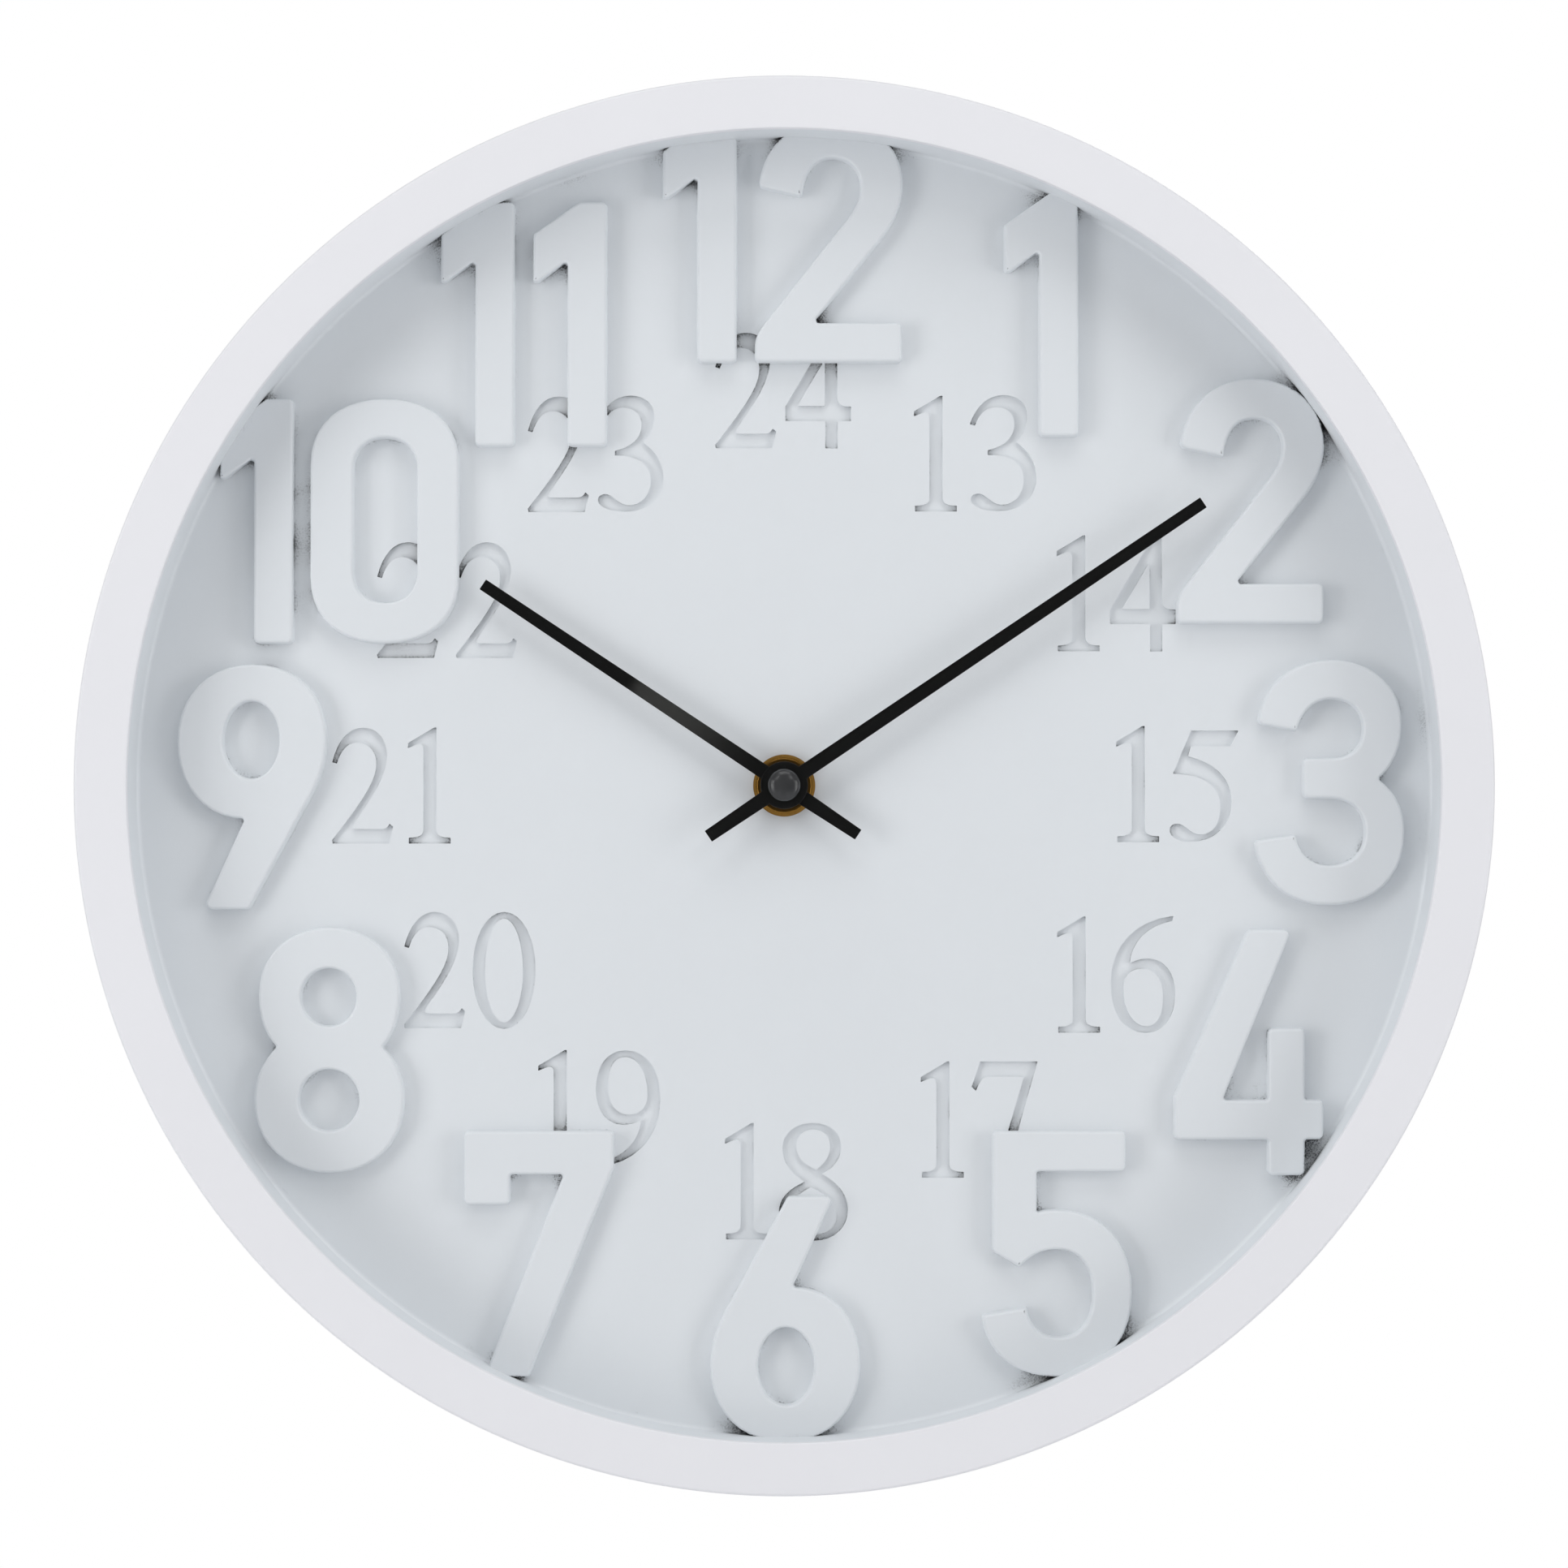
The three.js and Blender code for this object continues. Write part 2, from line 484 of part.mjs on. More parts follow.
function caseRing() {
  const shell = turned(
    [
      [CASE_INNER, 0],
      [CASE_RADIUS, 0],
      [CASE_RADIUS, CASE_DEPTH - CASE_EDGE],
      [CASE_RADIUS - CASE_EDGE, CASE_DEPTH],
      [BEZEL_INNER, CASE_DEPTH],
      [BEZEL_INNER, BEZEL_BACK_Z],
      [CASE_INNER, BEZEL_BACK_Z],
    ],
    DIAL_FACETS,
  );
  const bosses = screwPlaces.map(([x, y]) => disc(x, y, BOSS_RADIUS, BOSS_END_Z, BEZEL_BACK_Z + 1, 12));
  const pilots = screwPlaces.map(([x, y]) => disc(x, y, PILOT_RADIUS, BOSS_END_Z - 1, PILOT_END_Z, 8));
  return joined([shell, ...bosses]).subtract(joined(pilots));
}

const LENS_RADIUS = BEZEL_INNER + LENS_LAP;

const POST_Y = HOOK_HEIGHT - KEYHOLE_DROP / 2;
const postPlaces = [-1, 1].map((side) => [(side * POST_SPACING) / 2, POST_Y]);
const HANGER_FRONT_Z = HANGER_WALL_GAP + HANGER_THICK;
const POST_END_Z = HANGER_FRONT_Z + GAP;
const HANGER_SCREW_Z = HANGER_WALL_GAP - GAP;
const POST_PILOT_DEPTH = HANGER_SCREW_Z + HANGER_SCREW_LENGTH + PILOT_SPARE - POST_END_Z;

function raisedFigures() {
  // Each figure is cut off where it runs into the dish wall, and stands from inside the plate.
  const keep = disc(0, 0, BEZEL_INNER + DISH_WALL / 2, PLATE_BACK_Z, FIGURE_TOP_Z + 1, DIAL_FACETS);
  const scale = RAISED_SIZE / 100;
  const root = PLATE_BACK_Z + DIAL_PLATE / 4;
  return RAISED_FIGURES.flatMap(([figures, foot, ...lefts]) =>
    lefts.map((left, k) =>
      prism(placed(boldContours(figures[k]), left, foot, scale), root, FIGURE_TOP_Z).intersect(keep),
    ),
  );
}

function engravedFigures() {
  const scale = ENGRAVED_SIZE / 100;
  return ENGRAVED_FIGURES.flatMap(([figures, foot, ...lefts]) =>
    lefts.map((left, k) =>
      prism(placed(romanContours(figures[k]), left, foot, scale), FLOOR_Z - ENGRAVED_DEPTH, FLOOR_Z + 1),
    ),
  );
}

const placed = (contours, x, y, scale) =>
  contours.map((contour) => contour.map(([u, v]) => [x + u * scale, y + v * scale]));

function dial() {
  const plateEdge = CASE_INNER - GAP;
  const dish = turned(
    [
      [DIAL_HOLE, PLATE_BACK_Z],
      [plateEdge, PLATE_BACK_Z],
      [plateEdge, FLOOR_Z],
      [DISH_OUTER, FLOOR_Z],
      [DISH_OUTER, DISH_RIM_Z],
      [BEZEL_INNER, DISH_RIM_Z],
      [BEZEL_INNER, FLOOR_Z],
      [DIAL_HOLE, FLOOR_Z],
    ],
    DIAL_FACETS,
  );
  const screwHoles = screwPlaces.map(([x, y]) => disc(x, y, PILOT_RADIUS, PLATE_BACK_Z - 1, FLOOR_Z + 1, 8));
  const posts = postPlaces.map(([x, y]) => disc(x, y, POST_RADIUS, POST_END_Z, PLATE_BACK_Z + 1, 16));
  const pilots = postPlaces.map(([x, y]) =>
    disc(x, y, PILOT_RADIUS, POST_END_Z - 1, POST_END_Z + POST_PILOT_DEPTH, 8),
  );
  const cut = joined([...engravedFigures(), ...screwHoles]);
  return joined([dish.subtract(cut), ...raisedFigures(), ...posts]).subtract(joined(pilots));
}

// A pan-head screw driven towards the front, the underside of its head on level z.
function screw([x, y], z, length) {
  const head = turned(
    [
      [0, z - SCREW_HEAD_HEIGHT],
      [SCREW_HEAD_RADIUS * 0.6, z - SCREW_HEAD_HEIGHT],
      [SCREW_HEAD_RADIUS, z - SCREW_HEAD_HEIGHT * 0.5],
      [SCREW_HEAD_RADIUS, z],
      [0, z],
    ],
    12,
    x,
    y,
  );
  return head.add(disc(x, y, SCREW_RADIUS, z - 0.5, z + length, 8));
}

function hangerPlate() {
  const acrossX = HANGER_WIDTH / 2 - HANGER_CORNER;
  const acrossY = HANGER_TALL / 2 - HANGER_CORNER;
  const outline = [
    ...arc(acrossX, POST_Y + acrossY, HANGER_CORNER, 0, 90, 3),
    ...arc(-acrossX, POST_Y + acrossY, HANGER_CORNER, 90, 180, 3),
    ...arc(-acrossX, POST_Y - acrossY, HANGER_CORNER, 180, 270, 3),
    ...arc(acrossX, POST_Y - acrossY, HANGER_CORNER, 270, 360, 3),
  ];
  // The nail's head goes through the round hole and its shank slides up the slot to y = HOOK_HEIGHT.
  const slotY = HOOK_HEIGHT - NAIL_SLOT_RADIUS;
  const holeY = HOOK_HEIGHT - KEYHOLE_DROP;
  const z0 = HANGER_WALL_GAP - 1;
  const z1 = HANGER_FRONT_Z + 1;
  const cut = joined([
    disc(0, holeY, NAIL_HEAD_RADIUS, z0, z1, 24),
    block(-NAIL_SLOT_RADIUS, NAIL_SLOT_RADIUS, holeY, slotY, z0, z1),
    disc(0, slotY, NAIL_SLOT_RADIUS, z0, z1, 16),
    ...postPlaces.map(([x, y]) => disc(x, y, PILOT_RADIUS, z0, z1, 8)),
  ]);
  return prism([outline], HANGER_WALL_GAP, HANGER_FRONT_Z).subtract(cut);
}

piece("case_ring", caseRing(), WHITE_CASE());
const lensMaterial = finish(0xffffff, 0.05);
lensMaterial.transparent = true;
lensMaterial.opacity = 0.1;
piece("front_lens", disc(0, 0, LENS_RADIUS, LENS_BACK_Z, LENS_FRONT_Z, DIAL_FACETS), lensMaterial);
piece("dial", dial(), WHITE_DIAL());
screwPlaces.forEach((at, k) => piece(`dial_screw_${k + 1}`, screw(at, SCREW_HEAD_Z, SCREW_LENGTH), STEEL()));
piece("hanger_plate", hangerPlate(), STEEL());
postPlaces.forEach((at, k) =>
  piece(`hanger_screw_${k + 1}`, screw(at, HANGER_SCREW_Z, HANGER_SCREW_LENGTH), STEEL()),
);

// ---- Fixing of the movement ----
const WASHER_RADIUS = NUT_RADIUS - 0.2;
piece(
  "rubber_gasket",
  tube(0, 0, GASKET_RADIUS, DIAL_HOLE, GASKET_BACK_Z, GASKET_BACK_Z + GASKET_THICK, 24),
  RUBBER(),
);
piece("flat_washer", tube(0, 0, WASHER_RADIUS, DIAL_HOLE, WASHER_Z, WASHER_Z + WASHER_THICK, 24), BRASS());
piece(
  "fixing_nut",
  turned(
    [
      [DIAL_HOLE, NUT_Z],
      [NUT_RADIUS, NUT_Z],
      [NUT_RADIUS, NUT_Z + NUT_THICK - NUT_CHAMFER],
      [NUT_RADIUS - NUT_CHAMFER, NUT_Z + NUT_THICK],
      [DIAL_HOLE, NUT_Z + NUT_THICK],
    ],
    24,
  ),
  BRASS(),
);

// ---- Hands ----
// A straight tapered bar with square ends through a round hub, turned clockwise from 12.
function hand(length, tail, tipWidth, tailWidth, angle, bore, z) {
  const bar = [
    [-tailWidth / 2, -tail],
    [tailWidth / 2, -tail],
    [HAND_HUB_WIDTH / 2, 0],
    [tipWidth / 2, length],
    [-tipWidth / 2, length],
    [-HAND_HUB_WIDTH / 2, 0],
  ];
  const hub = disc(0, 0, HAND_HUB_RADIUS, z, z + HAND_THICK, 24);
  const hole = disc(0, 0, bore, z - 1, z + HAND_THICK + 1, 16);
  return prism([bar], z, z + HAND_THICK).add(hub).subtract(hole).rotate([0, 0, -angle]);
}

const HOUR_BORE = HOUR_PIPE_RADIUS + GAP;
const MINUTE_BORE = MINUTE_STUD_RADIUS + GAP;
const COLLET_RADIUS = HOUR_BORE + COLLET_WALL;
const COLLET_LENGTH = HOUR_HAND_Z - BUSH_END_Z - GAP;
const PIPE_PROUD = 0.2; // hour pipe past the front of the hour hand
const HOUR_PIPE_END_Z = HOUR_HAND_Z + HAND_THICK + PIPE_PROUD;
const SHOULDER_Z = MINUTE_HAND_Z - GAP;
const CAP_Z = MINUTE_HAND_Z + HAND_THICK + GAP;
const STUD_REACH = 0.9; // minute arbor inside the cap
const STUD_END_Z = CAP_Z + STUD_REACH;

function hourHand() {
  const widths = [HOUR_TIP_WIDTH, HOUR_TIP_WIDTH];
  const bar = hand(HOUR_LENGTH, HOUR_TAIL, ...widths, HOUR_ANGLE, HOUR_BORE, HOUR_HAND_Z);
  const from = HOUR_HAND_Z - COLLET_LENGTH;
  return bar.add(tube(0, 0, COLLET_RADIUS, HOUR_BORE, from, HOUR_HAND_Z + HAND_THICK / 2, 16));
}

// The domed cap screws on the end of the minute arbor.
function handCap() {
  const domeRise = CAP_HEIGHT - CAP_RIM;
  const sphere = (CAP_RADIUS ** 2 + domeRise ** 2) / (2 * domeRise);
  const top = CAP_Z + CAP_HEIGHT;
  const from = THREE.MathUtils.radToDeg(Math.acos(CAP_RADIUS / sphere));
  return turned(
    [
      [MINUTE_BORE, CAP_Z],
      [CAP_RADIUS, CAP_Z],
      ...arc(0, top - sphere, sphere, from, 90, 5),
      [0, STUD_END_Z + GAP],
      [MINUTE_BORE, STUD_END_Z + GAP],
    ],
    24,
  );
}

piece("hour_hand", hourHand(), BLACK_PAINT());
const minuteWidths = [MINUTE_TIP_WIDTH, MINUTE_TAIL_WIDTH];
piece(
  "minute_hand",
  hand(MINUTE_LENGTH, MINUTE_TAIL, ...minuteWidths, MINUTE_ANGLE, MINUTE_BORE, MINUTE_HAND_Z),
  BLACK_PAINT(),
);
piece("hand_cap", handCap(), BLACK_PAINT());

// ---- Gears ----
// The outline of a gear with its first tooth pointing at the angle given.
function gearContour([x, y], teeth, module, firstTooth) {
  const tip = module * (teeth / 2 + TIP_ADD);
  const root = module * (teeth / 2 - ROOT_DROP);
  const pitch = 360 / teeth;
  const tooth = [
    [root, -ROOT_HALF],
    [tip, -TIP_HALF],
    [tip, TIP_HALF],
    [root, ROOT_HALF],
  ];
  return Array.from({ length: teeth }, (_, k) =>
    tooth.map(([r, share]) => polar([x, y], r, firstTooth + (k + share) * pitch)),
  ).flat();
}

const gear = (at, teeth, module, firstTooth, z, thick) =>
  prism([gearContour(at, teeth, module, firstTooth)], z, z + thick);

// Two wheels mesh when one has a tooth, and the other a gap, on the line between their axes.
const toothTowards = (from, to) =>
  THREE.MathUtils.radToDeg(Math.atan2(to[1] - from[1], to[0] - from[0]));
const gapTowards = (from, to, teeth) => toothTowards(from, to) + 180 / teeth;

// A pinion is a little thicker than the wheel it drives, and centred on it.
const pinionZ = (wheelZ) => wheelZ + (WHEEL_THICK - PINION_THICK) / 2;

const pinion = (at, teeth, module, towards, wheelZ) =>
  gear(at, teeth, module, toothTowards(at, towards), pinionZ(wheelZ), PINION_THICK);
const wheel = (at, teeth, module, towards, z) =>
  gear(at, teeth, module, gapTowards(at, towards, teeth), z, WHEEL_THICK);

// An arbor with a fine pivot at each end.
function arbor([x, y], z0, z1) {
  const body = disc(x, y, ARBOR_RADIUS, z0, z1, 10);
  return body.add(disc(x, y, PIVOT_RADIUS, z0 - PIVOT_LENGTH, z1 + PIVOT_LENGTH, 8));
}

const ARBOR_ENDS = 0.3; // arbor beyond its outermost gear
const ARBOR_REAR = 0.4; // and behind the rearmost pinion, which is the thicker gear there
const MAGNET_RADIUS = 2.5;
const MAGNET_THICK = 2.2;
const MAGNET_Z = FOURTH_Z + 0.6; // clear of the intermediate wheel behind it
const MAGNET_FRONT = 0.8; // arbor in front of the magnet
const ROTOR_SPAN = [INTERMEDIATE_Z - ARBOR_REAR, MAGNET_Z + MAGNET_THICK + MAGNET_FRONT];
const INTERMEDIATE_SPAN = [
  INTERMEDIATE_Z - ARBOR_REAR,
  pinionZ(FOURTH_Z) + PINION_THICK + ARBOR_ENDS,
];
const FOURTH_SPAN = [FOURTH_Z - ARBOR_ENDS, pinionZ(THIRD_Z) + PINION_THICK + ARBOR_ENDS];
const THIRD_SPAN = [THIRD_Z - ARBOR_ENDS, pinionZ(CENTRE_Z) + PINION_THICK + ARBOR_ENDS];
const CENTRE_REAR = 0.5; // minute arbor behind the centre wheel
const CENTRE_REAR_Z = CENTRE_Z - CENTRE_REAR;

// The rotor: a round magnet and its pinion on one arbor.
function rotor() {
  const stem = disc(...ROTOR_AT, 2 * PIVOT_RADIUS, ROTOR_SPAN[0], MAGNET_Z + 1, 8);
  const pivot = disc(...ROTOR_AT, PIVOT_RADIUS, ROTOR_SPAN[0] - PIVOT_LENGTH, MAGNET_Z, 8);
  const magnet = disc(...ROTOR_AT, MAGNET_RADIUS, MAGNET_Z, MAGNET_Z + MAGNET_THICK, 20);
  const leaves = pinion(ROTOR_AT, ROTOR_PINION, ROTOR_MODULE, INTERMEDIATE_AT, INTERMEDIATE_Z);
  const upper = arbor(ROTOR_AT, MAGNET_Z + 1, ROTOR_SPAN[1]);
  return joined([stem, pivot, magnet, leaves, upper]);
}

// A wheel and the pinion that drives the next one, on one arbor.
const wheelAndPinion = (at, span, wheelSolid, pinionSolid) =>
  joined([arbor(at, ...span), wheelSolid, pinionSolid]);

const intermediateWheel = () =>
  wheelAndPinion(
    INTERMEDIATE_AT,
    INTERMEDIATE_SPAN,
    wheel(INTERMEDIATE_AT, INTERMEDIATE_TEETH, ROTOR_MODULE, ROTOR_AT, INTERMEDIATE_Z),
    pinion(INTERMEDIATE_AT, INTERMEDIATE_PINION, FOURTH_MODULE, FOURTH_AT, FOURTH_Z),
  );

const fourthWheel = () =>
  wheelAndPinion(
    FOURTH_AT,
    FOURTH_SPAN,
    wheel(FOURTH_AT, FOURTH_TEETH, FOURTH_MODULE, INTERMEDIATE_AT, FOURTH_Z),
    pinion(FOURTH_AT, FOURTH_PINION, THIRD_MODULE, THIRD_AT, THIRD_Z),
  );

const thirdWheel = () =>
  wheelAndPinion(
    THIRD_AT,
    THIRD_SPAN,
    wheel(THIRD_AT, THIRD_TEETH, THIRD_MODULE, FOURTH_AT, THIRD_Z),
    pinion(THIRD_AT, THIRD_PINION, CENTRE_MODULE, AXIS, CENTRE_Z),
  );

// The centre wheel grips the minute arbor by friction, so that the hands can be set.
const centreWheel = () =>
  wheel(AXIS, CENTRE_TEETH, CENTRE_MODULE, THIRD_AT, CENTRE_Z).subtract(
    disc(...AXIS, MINUTE_ARBOR_RADIUS + GAP, CENTRE_Z - 1, CENTRE_Z + WHEEL_THICK + 1, 16),
  );

const COLLAR_THICK = 0.5;
function minuteArbor() {
  const collarZ = CENTRE_Z + WHEEL_THICK + GAP;
  return joined([
    disc(...AXIS, MINUTE_ARBOR_RADIUS / 2, CENTRE_REAR_Z - PIVOT_LENGTH, CENTRE_REAR_Z + 1, 10),
    disc(...AXIS, MINUTE_ARBOR_RADIUS, CENTRE_REAR_Z, SHOULDER_Z, 16),
    disc(...AXIS, MINUTE_ARBOR_RADIUS + 2 * GAP, collarZ, collarZ + COLLAR_THICK, 16),
    disc(...AXIS, MINUTE_STUD_RADIUS, SHOULDER_Z - 1, STUD_END_Z, 16),
    pinion(AXIS, MINUTE_PINION, MOTION_MODULE, MOTION_AT, MOTION_Z),
  ]);
}

// The motion-work wheel and pinion share the shaft that the setting knob turns.
const KNOB_Z = COVER_BACK_Z - GAP - KNOB_THICK;
const KNOB_SHAFT_Z = KNOB_Z + KNOB_THICK / 3;
const SHAFT_SEAT = 0.8; // blind seat for the shaft's pivot in the housing's front plate
const MOTION_FRONT_Z = HOUSING_INNER_Z - GAP;
function motionWheel() {
  return joined([
    disc(...MOTION_AT, KNOB_SHAFT_RADIUS, KNOB_SHAFT_Z, MOTION_FRONT_Z, 12),
    disc(...MOTION_AT, PIVOT_RADIUS * 2, MOTION_FRONT_Z - 1, MOTION_FRONT_Z + PIVOT_LENGTH, 8),
    wheel(MOTION_AT, MOTION_TEETH, MOTION_MODULE, AXIS, MOTION_Z),
    pinion(MOTION_AT, MOTION_PINION, MOTION_MODULE, AXIS, HOUR_WHEEL_Z),
  ]);
}

function hourWheel() {
  const bore = MINUTE_ARBOR_RADIUS + RUN;
  const pipe = disc(...AXIS, HOUR_PIPE_RADIUS, HOUR_WHEEL_Z, HOUR_PIPE_END_Z, 16);
  const through = disc(...AXIS, bore, HOUR_WHEEL_Z - 1, HOUR_PIPE_END_Z + 1, 16);
  return wheel(AXIS, HOUR_TEETH, MOTION_MODULE, MOTION_AT, HOUR_WHEEL_Z).add(pipe).subtract(through);
}

function setKnob() {
  const rim = Array.from({ length: KNOB_GRIPS * 2 }, (_, k) =>
    polar(MOTION_AT, KNOB_RADIUS - (k % 2) * KNOB_GRIP_DEPTH, (180 * k) / KNOB_GRIPS),
  );
  const socket = disc(...MOTION_AT, KNOB_SHAFT_RADIUS + GAP, KNOB_SHAFT_Z - GAP, COVER_BACK_Z, 12);
  return prism([rim], KNOB_Z, KNOB_Z + KNOB_THICK).subtract(socket);
}

// ---- Movement housing and cover ----
const HALF_SIDE = MOVEMENT_SIDE / 2;
const HOUSING_BOTTOM = -MOVEMENT_DROP - HALF_SIDE;
const HOUSING_TOP = HALF_SIDE - MOVEMENT_DROP;
const BAY_SPARE = 0.6; // room above the battery
const BAY_TOP = HOUSING_BOTTOM + HOUSING_WALL + 2 * (BATTERY_RADIUS + GAP) + BAY_SPARE;
const TRAIN_BOTTOM = BAY_TOP + HOUSING_WALL;
const BATTERY_AT = [0, HOUSING_BOTTOM + HOUSING_WALL + BATTERY_RADIUS + 2 * GAP];
const BATTERY_Z = HOUSING_INNER_Z - GAP - BATTERY_RADIUS;

// A blind bearing for the pivot at one end of an arbor: a boss from the inner face of a wall to the
// arbor's body, less a gap, and a blind hole down the boss. side is 1 for the front wall, -1 for the rear.
const BLIND = PIVOT_LENGTH;
const BOSS_ROOT = 0.5; // how deep a boss is buried in its wall
const LEAST_BOSS = 0.2; // a shorter one is left out, and the hole goes into the wall itself
function bearing([x, y], side, wallZ, endZ) {
  const mouthZ = endZ + side * GAP;
  const tall = side * (wallZ - mouthZ) > LEAST_BOSS;
  const slab = (radius, from, to, sides) =>
    disc(x, y, radius, Math.min(from, to), Math.max(from, to), sides);
  return {
    boss: tall ? slab(BEARING_RADIUS, mouthZ, wallZ + side * BOSS_ROOT, 10) : null,
    hole: slab(PIVOT_RADIUS + RUN, mouthZ - side * 0.4, mouthZ + side * BLIND, 8),
  };
}

const trainEnds = [
  [ROTOR_AT, ROTOR_SPAN],
  [INTERMEDIATE_AT, INTERMEDIATE_SPAN],
  [FOURTH_AT, FOURTH_SPAN],
  [THIRD_AT, THIRD_SPAN],
];
const rearBearings = () => trainEnds.map(([at, span]) => bearing(at, -1, COVER_FRONT_Z, span[0]));
const frontBearings = () => trainEnds.map(([at, span]) => bearing(at, 1, HOUSING_INNER_Z, span[1]));

function withBearings(body, bearings) {
  const bosses = bearings.filter(({ boss }) => boss).map(({ boss }) => boss);
  return joined([body, ...bosses]).subtract(joined(bearings.map(({ hole }) => hole)));
}

// The housing: front plate with the threaded bush, four walls, and a wall between train and battery.
function movementHousing() {
  const x = HALF_SIDE;
  const outer = block(-x, x, HOUSING_BOTTOM, HOUSING_TOP, COVER_BACK_Z, HOUSING_FRONT_Z);
  const inX = x - HOUSING_WALL;
  const train = block(-inX, inX, TRAIN_BOTTOM, HOUSING_TOP - HOUSING_WALL, COVER_BACK_Z - 1, HOUSING_INNER_Z);
  const bay = block(-inX, inX, HOUSING_BOTTOM + HOUSING_WALL, BAY_TOP, COVER_BACK_Z - 1, HOUSING_INNER_Z);
  const bush = disc(...AXIS, BUSH_RADIUS, HOUSING_FRONT_Z - 1, BUSH_END_Z, 24);
  const bore = disc(...AXIS, BUSH_BORE, HOUSING_INNER_Z - 1, BUSH_END_Z + 1, 24);
  const shell = outer.subtract(train.add(bay)).add(bush);
  const seatRadius = PIVOT_RADIUS * 2 + RUN;
  const seatZ = HOUSING_INNER_Z + SHAFT_SEAT;
  const shaftHole = disc(...MOTION_AT, seatRadius, HOUSING_INNER_Z - 1, seatZ, 8);
  return withBearings(shell, frontBearings()).subtract(bore.add(shaftHole));
}

// The rear cover fits between the housing's walls over the train and carries the rear bearings.
function rearCover() {
  const x = HALF_SIDE - HOUSING_WALL - GAP;
  const y0 = TRAIN_BOTTOM + GAP;
  const y1 = HOUSING_TOP - HOUSING_WALL - GAP;
  const plate = block(-x, x, y0, y1, COVER_BACK_Z, COVER_FRONT_Z);
  const centreEnd = CENTRE_REAR_Z - GAP;
  const post = disc(...AXIS, BEARING_RADIUS + 0.4, COVER_FRONT_Z - 0.5, centreEnd, 12);
  const postHole = disc(...AXIS, MINUTE_ARBOR_RADIUS / 2 + RUN, centreEnd - BLIND, centreEnd + 1, 10);
  const knobHole = disc(...MOTION_AT, KNOB_SHAFT_RADIUS + RUN, COVER_BACK_Z - 1, COVER_FRONT_Z + 1, 12);
  return withBearings(plate.add(post), rearBearings()).subtract(postHole.add(knobHole));
}

// ---- Battery and contacts ----
const BATTERY_LEFT = -(BATTERY_LENGTH + BUTTON_LENGTH) / 2;
function alongX(solidAlongZ, x, y, z) {
  return solidAlongZ.rotate([0, 90, 0]).translate([x, y, z]);
}
function battery() {
  const can = disc(0, 0, BATTERY_RADIUS, 0, BATTERY_LENGTH, 24);
  const button = disc(0, 0, BUTTON_RADIUS, BATTERY_LENGTH - 1, BATTERY_LENGTH + BUTTON_LENGTH, 16);
  return alongX(can.add(button), BATTERY_LEFT, BATTERY_AT[1], BATTERY_Z);
}

// Each contact is a springy strip that stands at one end of the battery; its foot reaches along the
// bay's top wall.
const CONTACT_WIDE = 8;
const CONTACT_HALF_TALL = 5;
const CONTACT_FOOT = 3;
const CONTACT_THICK = 0.4;
function contact(side) {
  const wall = HALF_SIDE - HOUSING_WALL - GAP;
  const y = BATTERY_AT[1];
  const [inner, outer] = [wall - CONTACT_THICK, wall].map((v) => v * side).sort((a, b) => a - b);
  const half = CONTACT_WIDE / 2;
  const z1 = BATTERY_Z + CONTACT_HALF_TALL;
  const blade = block(inner, outer, y - half, y + half, BATTERY_Z - CONTACT_HALF_TALL, z1);
  const tail = block(inner, outer, y, BAY_TOP - GAP, z1 - CONTACT_FOOT, z1);
  return blade.add(tail);
}

// ---- Electronics ----
const BOARD = { left: -HALF_SIDE + HOUSING_WALL + GAP, wide: 5.4, bottom: -14, top: 16, thick: 0.8 };
const BOARD_Z = COVER_FRONT_Z + COVER_CLEAR;
const circuitBoard = () =>
  block(BOARD.left, BOARD.left + BOARD.wide, BOARD.bottom, BOARD.top, BOARD_Z, BOARD_Z + BOARD.thick);
const BOARD_FACE_Z = BOARD_Z + BOARD.thick + GAP; // what stands on the board starts here
const CRYSTAL_RADIUS = 1;
const CRYSTAL_LENGTH = 6;
const CRYSTAL_AT = [BOARD.left + 1.6, 6];
const CHIP_RADIUS = 2.2;
const CHIP_THICK = 1.1;
const CHIP_AT = [BOARD.left + BOARD.wide / 2, -4];
function quartzCrystal() {
  const can = disc(0, 0, CRYSTAL_RADIUS, 0, CRYSTAL_LENGTH, 12).rotate([-90, 0, 0]);
  return can.translate([...CRYSTAL_AT, BOARD_FACE_Z + CRYSTAL_RADIUS]);
}
const chip = () => disc(...CHIP_AT, CHIP_RADIUS, BOARD_FACE_Z, BOARD_FACE_Z + CHIP_THICK, 16);

// ---- Stepping motor: stator plate, core, bobbin and winding ----
const STATOR_Z = MAGNET_Z + 0.6;
const STATOR_THICK = 1;
const STATOR_RING = 4.6;
const STATOR_HOLE = MAGNET_RADIUS + 0.5;
const STATOR_ARM = 2.6;
const STATOR_FOOT = 3;
const STATOR_LAP = 0.5; // stator past the coil's core
const COIL_TO_ARM = 1.7; // air between the side arm and the winding
const COIL_X = 21.8;
const COIL_RADIUS = 2.7;
const COIL_TOP = 9.5;
const COIL_BOTTOM = -9.5;
const CORE_HALF_WIDE = 1.5;
const CORE_TOP = 15.5;
const CORE_BOTTOM = -14;
const CORE_THICK = 1;
const CORE_Z = STATOR_Z + STATOR_THICK + GAP;
const BOBBIN_CHEEK = 0.7;
const BOBBIN_WALL = 0.35;
const CHEEK_PROUD = 0.2; // cheeks past the winding

